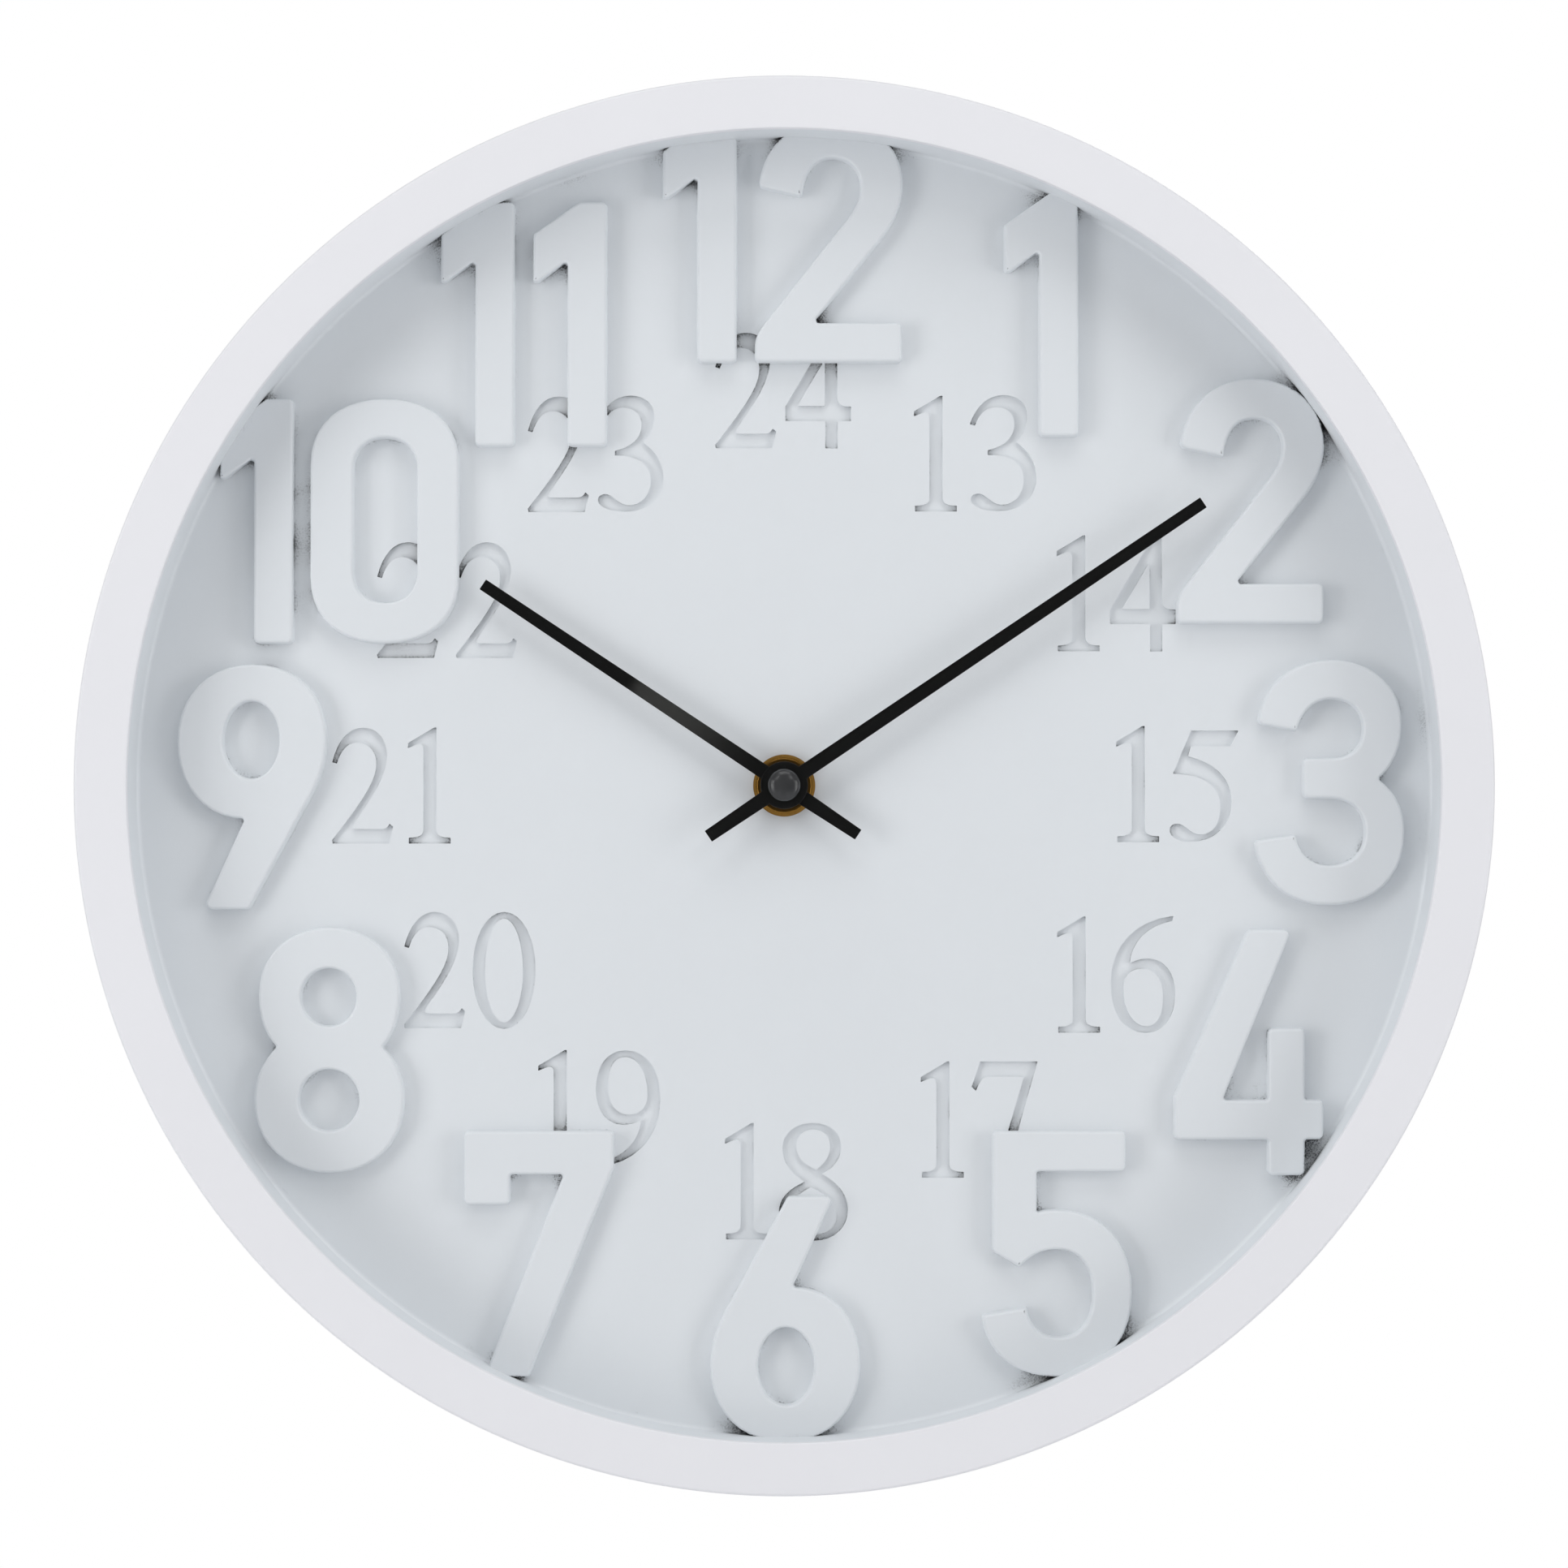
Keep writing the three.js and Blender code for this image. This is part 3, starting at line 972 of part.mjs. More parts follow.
function stator() {
  const [x, y] = ROTOR_AT;
  const right = COIL_X + CORE_HALF_WIDE + STATOR_LAP;
  const z1 = STATOR_Z + STATOR_THICK;
  const armX = COIL_X - COIL_RADIUS - COIL_TO_ARM - STATOR_ARM;
  const bar = (x0, x1, y0, y1) => block(x0, x1, y0, y1, STATOR_Z, z1);
  const ring = disc(x, y, STATOR_RING, STATOR_Z, z1, 24);
  const topArm = bar(x, right, y, CORE_TOP);
  const sideArm = bar(armX, armX + STATOR_ARM, CORE_BOTTOM, y + 1);
  const foot = bar(armX, right, CORE_BOTTOM, CORE_BOTTOM + STATOR_FOOT);
  const hole = disc(x, y, STATOR_HOLE, STATOR_Z - 1, z1 + 1, 24);
  return joined([ring, topArm, sideArm, foot]).subtract(hole);
}

const coilCore = () =>
  block(
    COIL_X - CORE_HALF_WIDE,
    COIL_X + CORE_HALF_WIDE,
    CORE_BOTTOM,
    CORE_TOP,
    CORE_Z,
    CORE_Z + CORE_THICK,
  );

// Spool and winding lie along y, round the core.
const COIL_Z = CORE_Z + CORE_THICK / 2;
const SPOOL_HALF = [
  CORE_HALF_WIDE + GAP + BOBBIN_WALL,
  CORE_THICK / 2 + GAP + BOBBIN_WALL,
];
const spoolBlock = (hx, hz, y0, y1) => block(COIL_X - hx, COIL_X + hx, y0, y1, COIL_Z - hz, COIL_Z + hz);
const alongY = (radius, y0, y1, sides) =>
  disc(0, 0, radius, 0, y1 - y0, sides).rotate([-90, 0, 0]).translate([COIL_X, y0, COIL_Z]);

function coilBobbin() {
  const [hx, hz] = SPOOL_HALF;
  const barrel = spoolBlock(hx, hz, COIL_BOTTOM, COIL_TOP);
  const cheeks = [COIL_BOTTOM, COIL_TOP - BOBBIN_CHEEK].map((y) =>
    alongY(COIL_RADIUS + CHEEK_PROUD, y, y + BOBBIN_CHEEK, 16),
  );
  const slot = spoolBlock(CORE_HALF_WIDE + GAP, CORE_THICK / 2 + GAP, COIL_BOTTOM - 1, COIL_TOP + 1);
  return joined([barrel, ...cheeks]).subtract(slot);
}

function coilWinding() {
  const [hx, hz] = SPOOL_HALF;
  const from = COIL_BOTTOM + BOBBIN_CHEEK + GAP;
  const to = COIL_TOP - BOBBIN_CHEEK - GAP;
  const core = spoolBlock(hx + GAP / 3, hz + GAP / 3, from - 1, to + 1);
  return alongY(COIL_RADIUS, from, to, 16).subtract(core);
}

piece("movement_housing", movementHousing(), BLACK_PLASTIC());
piece("movement_rear_cover", rearCover(), BLACK_PLASTIC());
piece("set_knob", setKnob(), BLACK_PLASTIC());
piece("battery", battery(), finish(0x3a5a3f, 0.4, 0.3));
piece("contact_positive", contact(1), STEEL());
piece("contact_negative", contact(-1), STEEL());
piece("circuit_board", circuitBoard(), finish(0x1f5a34, 0.5));
piece("quartz_crystal", quartzCrystal(), STEEL());
piece("chip", chip(), finish(0x101010, 0.4));
piece("stator", stator(), IRON());
piece("coil_core", coilCore(), IRON());
piece("coil_bobbin", coilBobbin(), ACETAL());
piece("coil_winding", coilWinding(), finish(0xb5622e, 0.4, 0.8));
piece("rotor", rotor(), finish(0x55565a, 0.4, 0.4));
piece("intermediate_wheel", intermediateWheel(), ACETAL());
piece("fourth_wheel", fourthWheel(), ACETAL());
piece("third_wheel", thirdWheel(), ACETAL());
piece("centre_wheel", centreWheel(), ACETAL());
piece("minute_arbor", minuteArbor(), BRASS());
piece("motion_wheel", motionWheel(), ACETAL());
piece("hour_wheel", hourWheel(), ACETAL());

const part = new THREE.Group();
part.add(clock);

export default part;
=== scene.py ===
"""Looks of the round white wall clock: fine shapes, paints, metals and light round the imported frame.

Shapes are written in the clock's own millimetres: x to the right as one faces the dial, y up from the
hands' axis, z out from the wall. to_row() turns them into the frame's metres.
"""

import json
import math

import bmesh
import bpy
import numpy as np
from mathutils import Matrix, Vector
from mathutils.geometry import tessellate_polygon


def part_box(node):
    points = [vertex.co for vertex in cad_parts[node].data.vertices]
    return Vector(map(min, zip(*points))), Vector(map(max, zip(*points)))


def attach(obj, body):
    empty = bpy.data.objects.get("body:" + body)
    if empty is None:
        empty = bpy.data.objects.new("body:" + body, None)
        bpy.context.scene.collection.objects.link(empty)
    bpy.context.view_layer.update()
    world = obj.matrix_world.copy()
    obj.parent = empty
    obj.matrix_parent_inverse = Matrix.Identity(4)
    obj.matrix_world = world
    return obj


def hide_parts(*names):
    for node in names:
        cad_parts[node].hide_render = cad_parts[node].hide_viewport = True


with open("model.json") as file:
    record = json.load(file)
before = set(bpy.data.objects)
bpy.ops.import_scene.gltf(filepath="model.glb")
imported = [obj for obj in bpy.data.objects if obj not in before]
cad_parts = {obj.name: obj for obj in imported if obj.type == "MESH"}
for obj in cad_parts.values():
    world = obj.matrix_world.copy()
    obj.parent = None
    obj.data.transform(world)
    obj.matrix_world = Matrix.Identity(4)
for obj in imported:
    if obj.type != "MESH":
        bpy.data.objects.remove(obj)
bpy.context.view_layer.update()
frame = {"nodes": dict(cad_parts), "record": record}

MM = 0.001
CASE_LOW, CASE_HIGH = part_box("case_ring")
AXIS_HEIGHT = (CASE_LOW.z + CASE_HIGH.z) / 2


# ---- Frames and boxes ----
def to_row(points):
    """Clock millimetres as row metres."""
    p = np.asarray(points, float)
    return np.column_stack([p[:, 0], -p[:, 2], p[:, 1]]) * MM + [0, 0, AXIS_HEIGHT]


def extent(node):
    """A node's box in clock millimetres: ((x0, x1), (y0, y1), (z0, z1))."""
    low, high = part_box(node)
    return (
        (low.x / MM, high.x / MM),
        ((low.z - AXIS_HEIGHT) / MM, (high.z - AXIS_HEIGHT) / MM),
        (-high.y / MM, -low.y / MM),
    )


def middle(span):
    return (span[0] + span[1]) / 2


# ---- Sizes read off the frame ----
CASE_RADIUS = (CASE_HIGH.x - CASE_LOW.x) / 2 / MM
CASE_DEPTH = (CASE_HIGH.y - CASE_LOW.y) / MM
LENS_BACK, LENS_FRONT = extent("front_lens")[2]
LENS_RADIUS = extent("front_lens")[0][1]
HOUR_LEVEL = extent("hour_hand")[2]
MINUTE_LEVEL = extent("minute_hand")[2]
CAP_LEVEL = extent("hand_cap")[2]
CAP_RADIUS = extent("hand_cap")[0][1]
NUT_LEVEL = extent("fixing_nut")[2]
NUT_RADIUS = extent("fixing_nut")[0][1]
WASHER_LEVEL = extent("flat_washer")[2]
WASHER_RADIUS = extent("flat_washer")[0][1]
SCREW_HEAD_LEVEL = extent("dial_screw_1")[2][0]

# ---- Sizes that no box gives ----
GAP = 0.3  # between pieces that touch
CASE_WALL = 2.5
BEZEL_INNER = CASE_RADIUS - 11.2
BEZEL_BACK = LENS_FRONT + GAP
DISH_RIM = LENS_BACK - GAP
DISH_OUTER = BEZEL_INNER + 2
FLOOR = CASE_DEPTH - 18.5
PLATE_BACK = FLOOR - 2.6
PLATE_EDGE = CASE_RADIUS - CASE_WALL - GAP
DIAL_HOLE = 4.3
FIGURE_TOP = FLOOR + 3.5
RAISED_SIZE = 52.7
ENGRAVED_SIZE = 24.9
ENGRAVED_DEPTH = 0.9
PILOT_RADIUS = 1.3
BOSS_RADIUS = 3.1
POST_RADIUS = 3.2
HEAD_TO_POST = 4.2  # from the back of a hanger screw's head to the end of its post

ROUND = 256  # sides of the big rings
FINE = 96  # sides of the small turned pieces


# ---- Mesh making ----
def added(name, data):
    """A new object of the data, in the scene."""
    made = bpy.data.objects.new(name, data)
    bpy.context.scene.collection.objects.link(made)
    return made


def solid(name, points, faces):
    """A closed mesh object from clock millimetres, its doubles merged and its faces turned outwards."""
    mesh = bpy.data.meshes.new(name)
    mesh.from_pydata(to_row(points).tolist(), [], [list(f) for f in faces])
    shape = bmesh.new()
    shape.from_mesh(mesh)
    bmesh.ops.remove_doubles(shape, verts=shape.verts, dist=2e-7)
    bmesh.ops.recalc_face_normals(shape, faces=shape.faces)
    shape.to_mesh(mesh)
    shape.free()
    return added(name, mesh)


def eased(corners, steps=4, closed=True):
    """A 2D outline of (u, v) or (u, v, radius) corners, each radius turned into an arc of a few steps."""
    count = len(corners)
    outline = []
    for i, corner in enumerate(corners):
        here = np.array(corner[:2], float)
        radius = corner[2] if len(corner) > 2 else 0
        before = np.array(corners[i - 1][:2], float) - here
        after = np.array(corners[(i + 1) % count][:2], float) - here
        if radius <= 0:
            outline.append(tuple(here))
            continue
        reach = [np.linalg.norm(before), np.linalg.norm(after)]
        u, v = before / reach[0], after / reach[1]
        half = math.acos(max(-1, min(1, float(u @ v)))) / 2
        cut = min(radius / math.tan(half), 0.48 * reach[0], 0.48 * reach[1])
        radius = cut * math.tan(half)
        inward = (u + v) / np.linalg.norm(u + v)
        centre = here + inward * radius / math.sin(half)
        start, end = here + u * cut - centre, here + v * cut - centre
        turn = math.atan2(start[0] * end[1] - start[1] * end[0], float(start @ end))
        for k in range(steps + 1):
            a = turn * k / steps
            c, s = math.cos(a), math.sin(a)
            outline.append(
                tuple(centre + [start[0] * c - start[1] * s, start[0] * s + start[1] * c])
            )
    return outline


def turned(name, section, sides=FINE, at=(0, 0), along="z"):
    """A turned solid: its closed half section of (radius, level) points spun round z at `at`, or round x."""
    angles = np.arange(sides) * 2 * math.pi / sides
    points, rings = [], []
    for radius, level in section:
        first = len(points)
        if radius < 1e-9:
            spots = [(0.0, 0.0)]
            rings.append([first] * sides)
        else:
            spots = [(radius * math.cos(a), radius * math.sin(a)) for a in angles]
            rings.append([first + k for k in range(sides)])
        for p, q in spots:
            if along == "z":
                points.append((at[0] + p, at[1] + q, level))
            else:
                points.append((level, at[0] + p, at[1] + q))
    faces = []
    for i, ring in enumerate(rings):
        onward = rings[(i + 1) % len(rings)]
        for k in range(sides):
            n = (k + 1) % sides
            face = list(dict.fromkeys([ring[k], ring[n], onward[n], onward[k]]))
            if len(face) > 2:
                faces.append(face)
    return solid(name, points, faces)


def area_of(contour):
    p = np.array(contour)
    q = np.roll(p, -1, axis=0)
    return float((p[:, 0] * q[:, 1] - q[:, 0] * p[:, 1]).sum()) / 2


def facing(contours):
    """Outer contour anticlockwise and holes clockwise, so that the material is on every edge's left."""
    turns = [area_of(c) for c in contours]
    return [
        c if (turn > 0) == (i == 0) else c[::-1]
        for i, (c, turn) in enumerate(zip(contours, turns))
    ]


def inset_by(contour, distance):
    """Every point moved into the material, so that each edge moves in by the distance."""
    p = np.array(contour)
    edge = np.roll(p, -1, axis=0) - p
    edge /= np.linalg.norm(edge, axis=1)[:, None]
    left = np.column_stack([-edge[:, 1], edge[:, 0]])
    both = left + np.roll(left, 1, axis=0)
    both /= np.linalg.norm(both, axis=1)[:, None]
    stretch = 1 / np.maximum((both * left).sum(1), 0.5)
    return p + both * (distance * stretch)[:, None]


def cut_out(name, contours, levels):
    """A solid of an outline with holes. levels lists (inset, z) from its back face to its front face."""
    contours = facing([[tuple(p) for p in c] for c in contours])
    points, faces, layers = [], [], []
    for inset, z in levels:
        layer = []
        for contour in contours:
            layer.append([len(points) + k for k in range(len(contour))])
            points += [(x, y, z) for x, y in inset_by(contour, inset)]
        layers.append(layer)
    for below, above in zip(layers, layers[1:]):
        for low, high in zip(below, above):
            for k in range(len(low)):
                n = (k + 1) % len(low)
                faces.append([low[k], low[n], high[n], high[k]])
    for layer in (layers[0], layers[-1]):
        flat = [i for ring in layer for i in ring]
        loops = [[Vector((points[i][0], points[i][1], 0)) for i in ring] for ring in layer]
        faces += [[flat[i] for i in triangle] for triangle in tessellate_polygon(loops)]
    return solid(name, points, faces)


def rounded_levels(back, front, edge, inset=0.0, steps=3):
    """Levels of a plate whose front and back edges are both rounded by the radius `edge`."""
    quarter = [math.pi / 2 * k / steps for k in range(steps + 1)]
    rear = [(inset + edge * (1 - math.cos(a)), back + edge * (1 - math.sin(a))) for a in quarter]
    fore = [(inset + edge * (1 - math.cos(a)), front - edge * (1 - math.sin(a))) for a in quarter]
    return rear[::-1] + fore


def circle(x, y, radius, sides=48):
    return [
        (x + radius * math.cos(2 * math.pi * k / sides), y + radius * math.sin(2 * math.pi * k / sides))
        for k in range(sides)
    ]


def peg(name, x, y, radius, z0, z1, sides=32):
    return cut_out(name, [circle(x, y, radius, sides)], [(0, z0), (0, z1)])


def as_mesh(piece):
    """The piece with its modifiers worked into its mesh."""
    graph = bpy.context.evaluated_depsgraph_get()
    mesh = bpy.data.meshes.new_from_object(piece.evaluated_get(graph))
    piece.modifiers.clear()
    piece.data = mesh
    return piece


def merged(pieces):
    """Several solids that don't touch, as one mesh object."""
    points, faces = [], []
    for piece in pieces:
        first = len(points)
        points += [v.co[:] for v in piece.data.vertices]
        faces += [[first + i for i in f.vertices] for f in piece.data.polygons]
        bpy.data.objects.remove(piece)
    mesh = bpy.data.meshes.new("merged")
    mesh.from_pydata(points, [], faces)
    return added("merged", mesh)


def with_other(piece, other, operation):
    """The union, difference or intersection of two solids, kept in the first; the second is used up."""
    step = piece.modifiers.new("join", "BOOLEAN")
    step.operation = operation
    step.solver = "MANIFOLD"
    step.object = other
    as_mesh(piece)
    bpy.data.objects.remove(other)
    return piece


def smoothed(piece, degrees=32):
    """Smooth faces with hard edges past the angle, and normals that follow the larger faces."""
    mesh = piece.data
    mesh.shade_smooth()
    mesh.set_sharp_from_angle(angle=math.radians(degrees))
    step = piece.modifiers.new("normals", "WEIGHTED_NORMAL")
    step.keep_sharp = True
    step.weight = 100
    return as_mesh(piece)


def flattened(piece):
    """Gives every corner of a face square to the hands' axis that face's own normal."""
    mesh = piece.data
    normals = [corner.vector.copy() for corner in mesh.corner_normals]
    for face in mesh.polygons:
        if abs(face.normal.y) > 0.9999:
            for corner in face.loop_indices:
                normals[corner] = (0, math.copysign(1, face.normal.y), 0)
    mesh.normals_split_custom_set(normals)


def fitted(piece, name, material, node_name):
    """Names a finished piece, gives it its finish, and lets it stand for its CAD node."""
    piece.name = name
    piece.data.name = name
    piece.data.materials.clear()
    piece.data.materials.append(material)
    for face in piece.data.polygons:
        face.material_index = 0
    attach(piece, BODY_OF[node_name])
    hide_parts(node_name)
    return piece


BODY_OF = {
    node: body for body, nodes in frame["record"]["behaviour"]["bodies"].items() for node in nodes
}


# ---- Node helpers ----
def node(tree, kind, inputs=None, **settings):
    """Adds a node. inputs gives each socket, by name or number, a value or another node's output."""
    made = tree.nodes.new(kind)
    for key, value in settings.items():
        setattr(made, key, value)
    for key, value in (inputs or {}).items():
        socket = made.inputs[key]
        if isinstance(value, bpy.types.NodeSocket):
            tree.links.new(value, socket)
        else:
            socket.default_value = value
    return made


def maths(tree, operation, *values, clamp=False):
    return node(
        tree,
        "ShaderNodeMath",
        dict(enumerate(values)),
        operation=operation,
        use_clamp=clamp,
    ).outputs[0]


def new_group(name, kind, inputs, outputs):
    """An empty node group with named inputs and outputs, and its input and output nodes."""
    tree = bpy.data.node_groups.new(name, kind)
    for label, socket_type, default in inputs:
        socket = tree.interface.new_socket(label, in_out="INPUT", socket_type=socket_type)
        if default is not None:
            socket.default_value = default
    for label, socket_type in outputs:
        tree.interface.new_socket(label, in_out="OUTPUT", socket_type=socket_type)
    return tree, tree.nodes.new("NodeGroupInput").outputs, tree.nodes.new("NodeGroupOutput").inputs


FLOAT, VECTOR, INT = "NodeSocketFloat", "NodeSocketVector", "NodeSocketInt"
GEOMETRY, MATERIAL = "NodeSocketGeometry", "NodeSocketMaterial"


def times(tree, first, second, clamp=False):
    return maths(tree, "MULTIPLY", first, second, clamp=clamp)


def remap(tree, value, start, end, **settings):
    """A share from 0 to 1 as the value goes from start to end."""
    return node(tree, "ShaderNodeMapRange", {"Value": value, 1: start, 2: end}, **settings).outputs[0]


def object_spot(tree):
    return tree.nodes.new("ShaderNodeTexCoord").outputs["Object"]


def scale_of(tree, size):
    """A texture's scale per metre, from a size in millimetres."""
    return maths(tree, "DIVIDE", 1000.0, size)


def noise(tree, spot, scale, detail, roughness=0.5):
    inputs = {"Vector": spot, "Scale": scale, "Detail": detail, "Roughness": roughness}
    return node(tree, "ShaderNodeTexNoise", inputs).outputs["Fac"]


def vector_maths(tree, operation, *values):
    return node(tree, "ShaderNodeVectorMath", dict(enumerate(values)), operation=operation).outputs


def from_axis(tree, spot, centre):
    """The offset from an axis along Y through the centre, and the distance from that axis."""
    away = vector_maths(tree, "SUBTRACT", spot, centre)[0]
    flat = vector_maths(tree, "MULTIPLY", away, (1.0, 0.0, 1.0))[0]
    return away, vector_maths(tree, "LENGTH", flat)["Value"]


def part_of(tree, vector, letter):
    return node(tree, "ShaderNodeSeparateXYZ", {"Vector": vector}).outputs[letter]


# ---- Shared effects ----
def make_fine_grain():
    """Fine grain of a sprayed or moulded surface, with a slow mottle. Sizes are in millimetres."""
    tree, given, put = new_group(
        "fine_grain",
        "ShaderNodeTree",
        [("Grain Size", FLOAT, 0.4), ("Mottle Size", FLOAT, 30.0)],
        [("Height", FLOAT), ("Mottle", FLOAT)],
    )
    spot = object_spot(tree)
    fine = scale_of(tree, given["Grain Size"])
    grain = noise(tree, spot, fine, 2.0, 0.6)
    peel = noise(tree, spot, maths(tree, "DIVIDE", fine, 4.0), 1.0)
    mottle = noise(tree, spot, scale_of(tree, given["Mottle Size"]), 3.0, 0.55)
    tree.links.new(maths(tree, "ADD", grain, times(tree, peel, 0.7)), put["Height"])
    tree.links.new(mottle, put["Mottle"])
    return tree


def make_thin_spray_and_painted_shade():
    """Where a spray of paint can't reach: specks in tight inner corners, and how enclosed a spot is, which is
    used as painted shade. Reach is in millimetres.
    """
    tree, given, put = new_group(
        "thin_spray_and_painted_shade",
        "ShaderNodeTree",
        [("Reach", FLOAT, 1.6), ("Speck Size", FLOAT, 0.3), ("Amount", FLOAT, 0.5)],
        [("Bare", FLOAT), ("Painted Shade", FLOAT)],
    )
    spot = object_spot(tree)
    open_sky = node(
        tree,
        "ShaderNodeAmbientOcclusion",
        {"Distance": times(tree, given["Reach"], MM)},
        samples=8,
        only_local=True,
    )
    tight = maths(tree, "SUBTRACT", 1.0, open_sky.outputs["AO"], clamp=True)
    speck = noise(tree, spot, scale_of(tree, given["Speck Size"]), 2.0, 0.7)
    patch = noise(tree, spot, 160.0, 1.0)
    drive = times(tree, tight, maths(tree, "ADD", patch, 0.45))
    drive = maths(tree, "ADD", drive, times(tree, speck, 0.75))
    low = maths(tree, "SUBTRACT", 1.36, times(tree, given["Amount"], 0.5))
    tree.links.new(remap(tree, drive, low, maths(tree, "ADD", low, 0.07)), put["Bare"])
    # Painted shade: how enclosed a spot is, used to darken the paint in tight corners where shade falls.
    tree.links.new(tight, put["Painted Shade"])
    return tree


def make_dust_film():
    """A faint film on faces that look up, broken by noise."""
    tree, given, put = new_group(
        "dust_film", "ShaderNodeTree", [("Patch Size", FLOAT, 12.0)], [("Dust", FLOAT)]
    )
    up = part_of(tree, tree.nodes.new("ShaderNodeNewGeometry").outputs["Normal"], "Z")
    patch = noise(tree, object_spot(tree), scale_of(tree, given["Patch Size"]), 6.0, 0.65)
    broken = remap(tree, patch, 0.35, 0.75)
    tree.links.new(times(tree, remap(tree, up, 0.2, 1.0), broken), put["Dust"])
    return tree


def make_edge_wear_and_highlight():
    """Convex edges, made paler: where a finish wears thin, and a painted highlight where edges catch light.
    """
    tree, given, put = new_group(
        "edge_wear_and_highlight", "ShaderNodeTree", [("Width", FLOAT, 0.06)], [("Edge", FLOAT)]
    )
    bend = tree.nodes.new("ShaderNodeNewGeometry").outputs["Pointiness"]
    broken = noise(tree, object_spot(tree), 700.0, 4.0, 0.7)
    start = maths(tree, "ADD", 0.5, given["Width"])
    edge = remap(tree, bend, start, maths(tree, "ADD", start, 0.08))
    tree.links.new(times(tree, edge, broken, clamp=True), put["Edge"])
    return tree


def make_turning_marks():
    """Fine rings left by a lathe tool round an axis along Y. Centre is in the row frame."""
    tree, given, put = new_group(
        "turning_marks",
        "ShaderNodeTree",
        [("Centre", VECTOR, (0.0, 0.0, 0.0)), ("Spacing", FLOAT, 0.12)],
        [("Height", FLOAT), ("Tone", FLOAT)],
    )
    spot = object_spot(tree)
    away, radius = from_axis(tree, spot, given["Centre"])
    travel = maths(tree, "ADD", radius, times(tree, part_of(tree, away, "Y"), 0.7))
    travel = times(tree, travel, scale_of(tree, given["Spacing"]))
    ring = node(
        tree,
        "ShaderNodeTexNoise",
        {"W": travel, "Scale": 1.0, "Detail": 3.0, "Roughness": 0.7},
        noise_dimensions="1D",
    )
    tree.links.new(ring.outputs["Fac"], put["Height"])
    tree.links.new(noise(tree, spot, 260.0, 4.0, 0.6), put["Tone"])
    return tree


def make_brushing():
    """Long fine scratches across a sheet, running along X."""
    tree, given, put = new_group(
        "brushing", "ShaderNodeTree", [("Length", FLOAT, 18.0)], [("Height", FLOAT), ("Tone", FLOAT)]
    )
    spot = object_spot(tree)
    along = scale_of(tree, given["Length"])
    size = node(tree, "ShaderNodeCombineXYZ", {"X": along, "Y": 4000.0, "Z": 4000.0}).outputs[0]
    drawn = vector_maths(tree, "MULTIPLY", spot, size)[0]
    tree.links.new(noise(tree, drawn, 1.0, 3.0, 0.6), put["Height"])
    tree.links.new(noise(tree, spot, 90.0, 5.0), put["Tone"])
    return tree


def make_painted_hand_highlight():
    """A painted highlight along a length of a hand, by millimetres from the axis the hand turns on.

    It comes in slowly from Start to Full and goes out quickly at End. Centre is in the row frame.
    """
    tree, given, put = new_group(
        "painted_hand_highlight",
        "ShaderNodeTree",
        [
            ("Centre", VECTOR, (0.0, 0.0, 0.0)),
            ("Start", FLOAT, 9.0),
            ("Full", FLOAT, 31.0),
            ("End", FLOAT, 42.0),
        ],
        [("Share", FLOAT)],
    )
    spot = object_spot(tree)
    away, radius = from_axis(tree, spot, given["Centre"])
    cloud = noise(tree, spot, 300.0, 3.0)
    radius = maths(tree, "ADD", times(tree, radius, 1000.0), times(tree, cloud, 3.0))
    end = given["End"]
    rising = remap(tree, radius, given["Start"], given["Full"], interpolation_type="SMOOTHSTEP")
    falling = remap(
        tree, radius, end, maths(tree, "SUBTRACT", end, 5.0), interpolation_type="SMOOTHSTEP"
    )
    main_side = remap(tree, part_of(tree, away, "X"), 0.002, -0.002)
    tree.links.new(times(tree, times(tree, rising, falling), main_side), put["Share"])
    return tree


FINE_GRAIN = make_fine_grain()
PAINTED_HAND_HIGHLIGHT = make_painted_hand_highlight()
THIN_SPRAY_AND_PAINTED_SHADE = make_thin_spray_and_painted_shade()
DUST_FILM = make_dust_film()
EDGE_WEAR_AND_HIGHLIGHT = make_edge_wear_and_highlight()
TURNING_MARKS = make_turning_marks()
BRUSHING = make_brushing()


# ---- Finishes ----
def linear(red, green, blue):
    """A colour on the 0 to 255 screen scale as linear light."""
    shares = [c / 255 for c in (red, green, blue)]
    lit = [c / 12.92 if c <= 0.04045 else ((c + 0.055) / 1.055) ** 2.4 for c in shares]
    return (*lit, 1.0)


def new_finish(name):
    material = bpy.data.materials.new(name)
    material.use_nodes = True
    tree = material.node_tree
    return material, tree, tree.nodes["Principled BSDF"]


def effect(tree, group, **inputs):
    """Places a shared effect; underscores in the input names stand for spaces."""
    named = {key.replace("_", " "): value for key, value in inputs.items()}
    made = tree.nodes.new("ShaderNodeGroup")
    made.node_tree = group
    for key, value in named.items():
        made.inputs[key].default_value = value
    return made.outputs


def between(tree, share, low, high):
    """A value between two numbers, by a share from 0 to 1."""
    return node(tree, "ShaderNodeMapRange", {"Value": share, 3: low, 4: high}).outputs[0]


def blended(tree, share, first, second):
    """A colour between two, each a colour or another node's output."""
    return node(
        tree, "ShaderNodeMix", {"Factor": share, 6: first, 7: second}, data_type="RGBA"
    ).outputs[2]


def scaled(colour, by):
    return (*[c * by for c in colour[:3]], 1.0)


def raised(tree, shader, height, depth_mm, strength=1.0):
    bump = node(
        tree, "ShaderNodeBump", {"Height": height, "Distance": depth_mm * MM, "Strength": strength}
    )
    tree.links.new(bump.outputs[0], shader.inputs["Normal"])


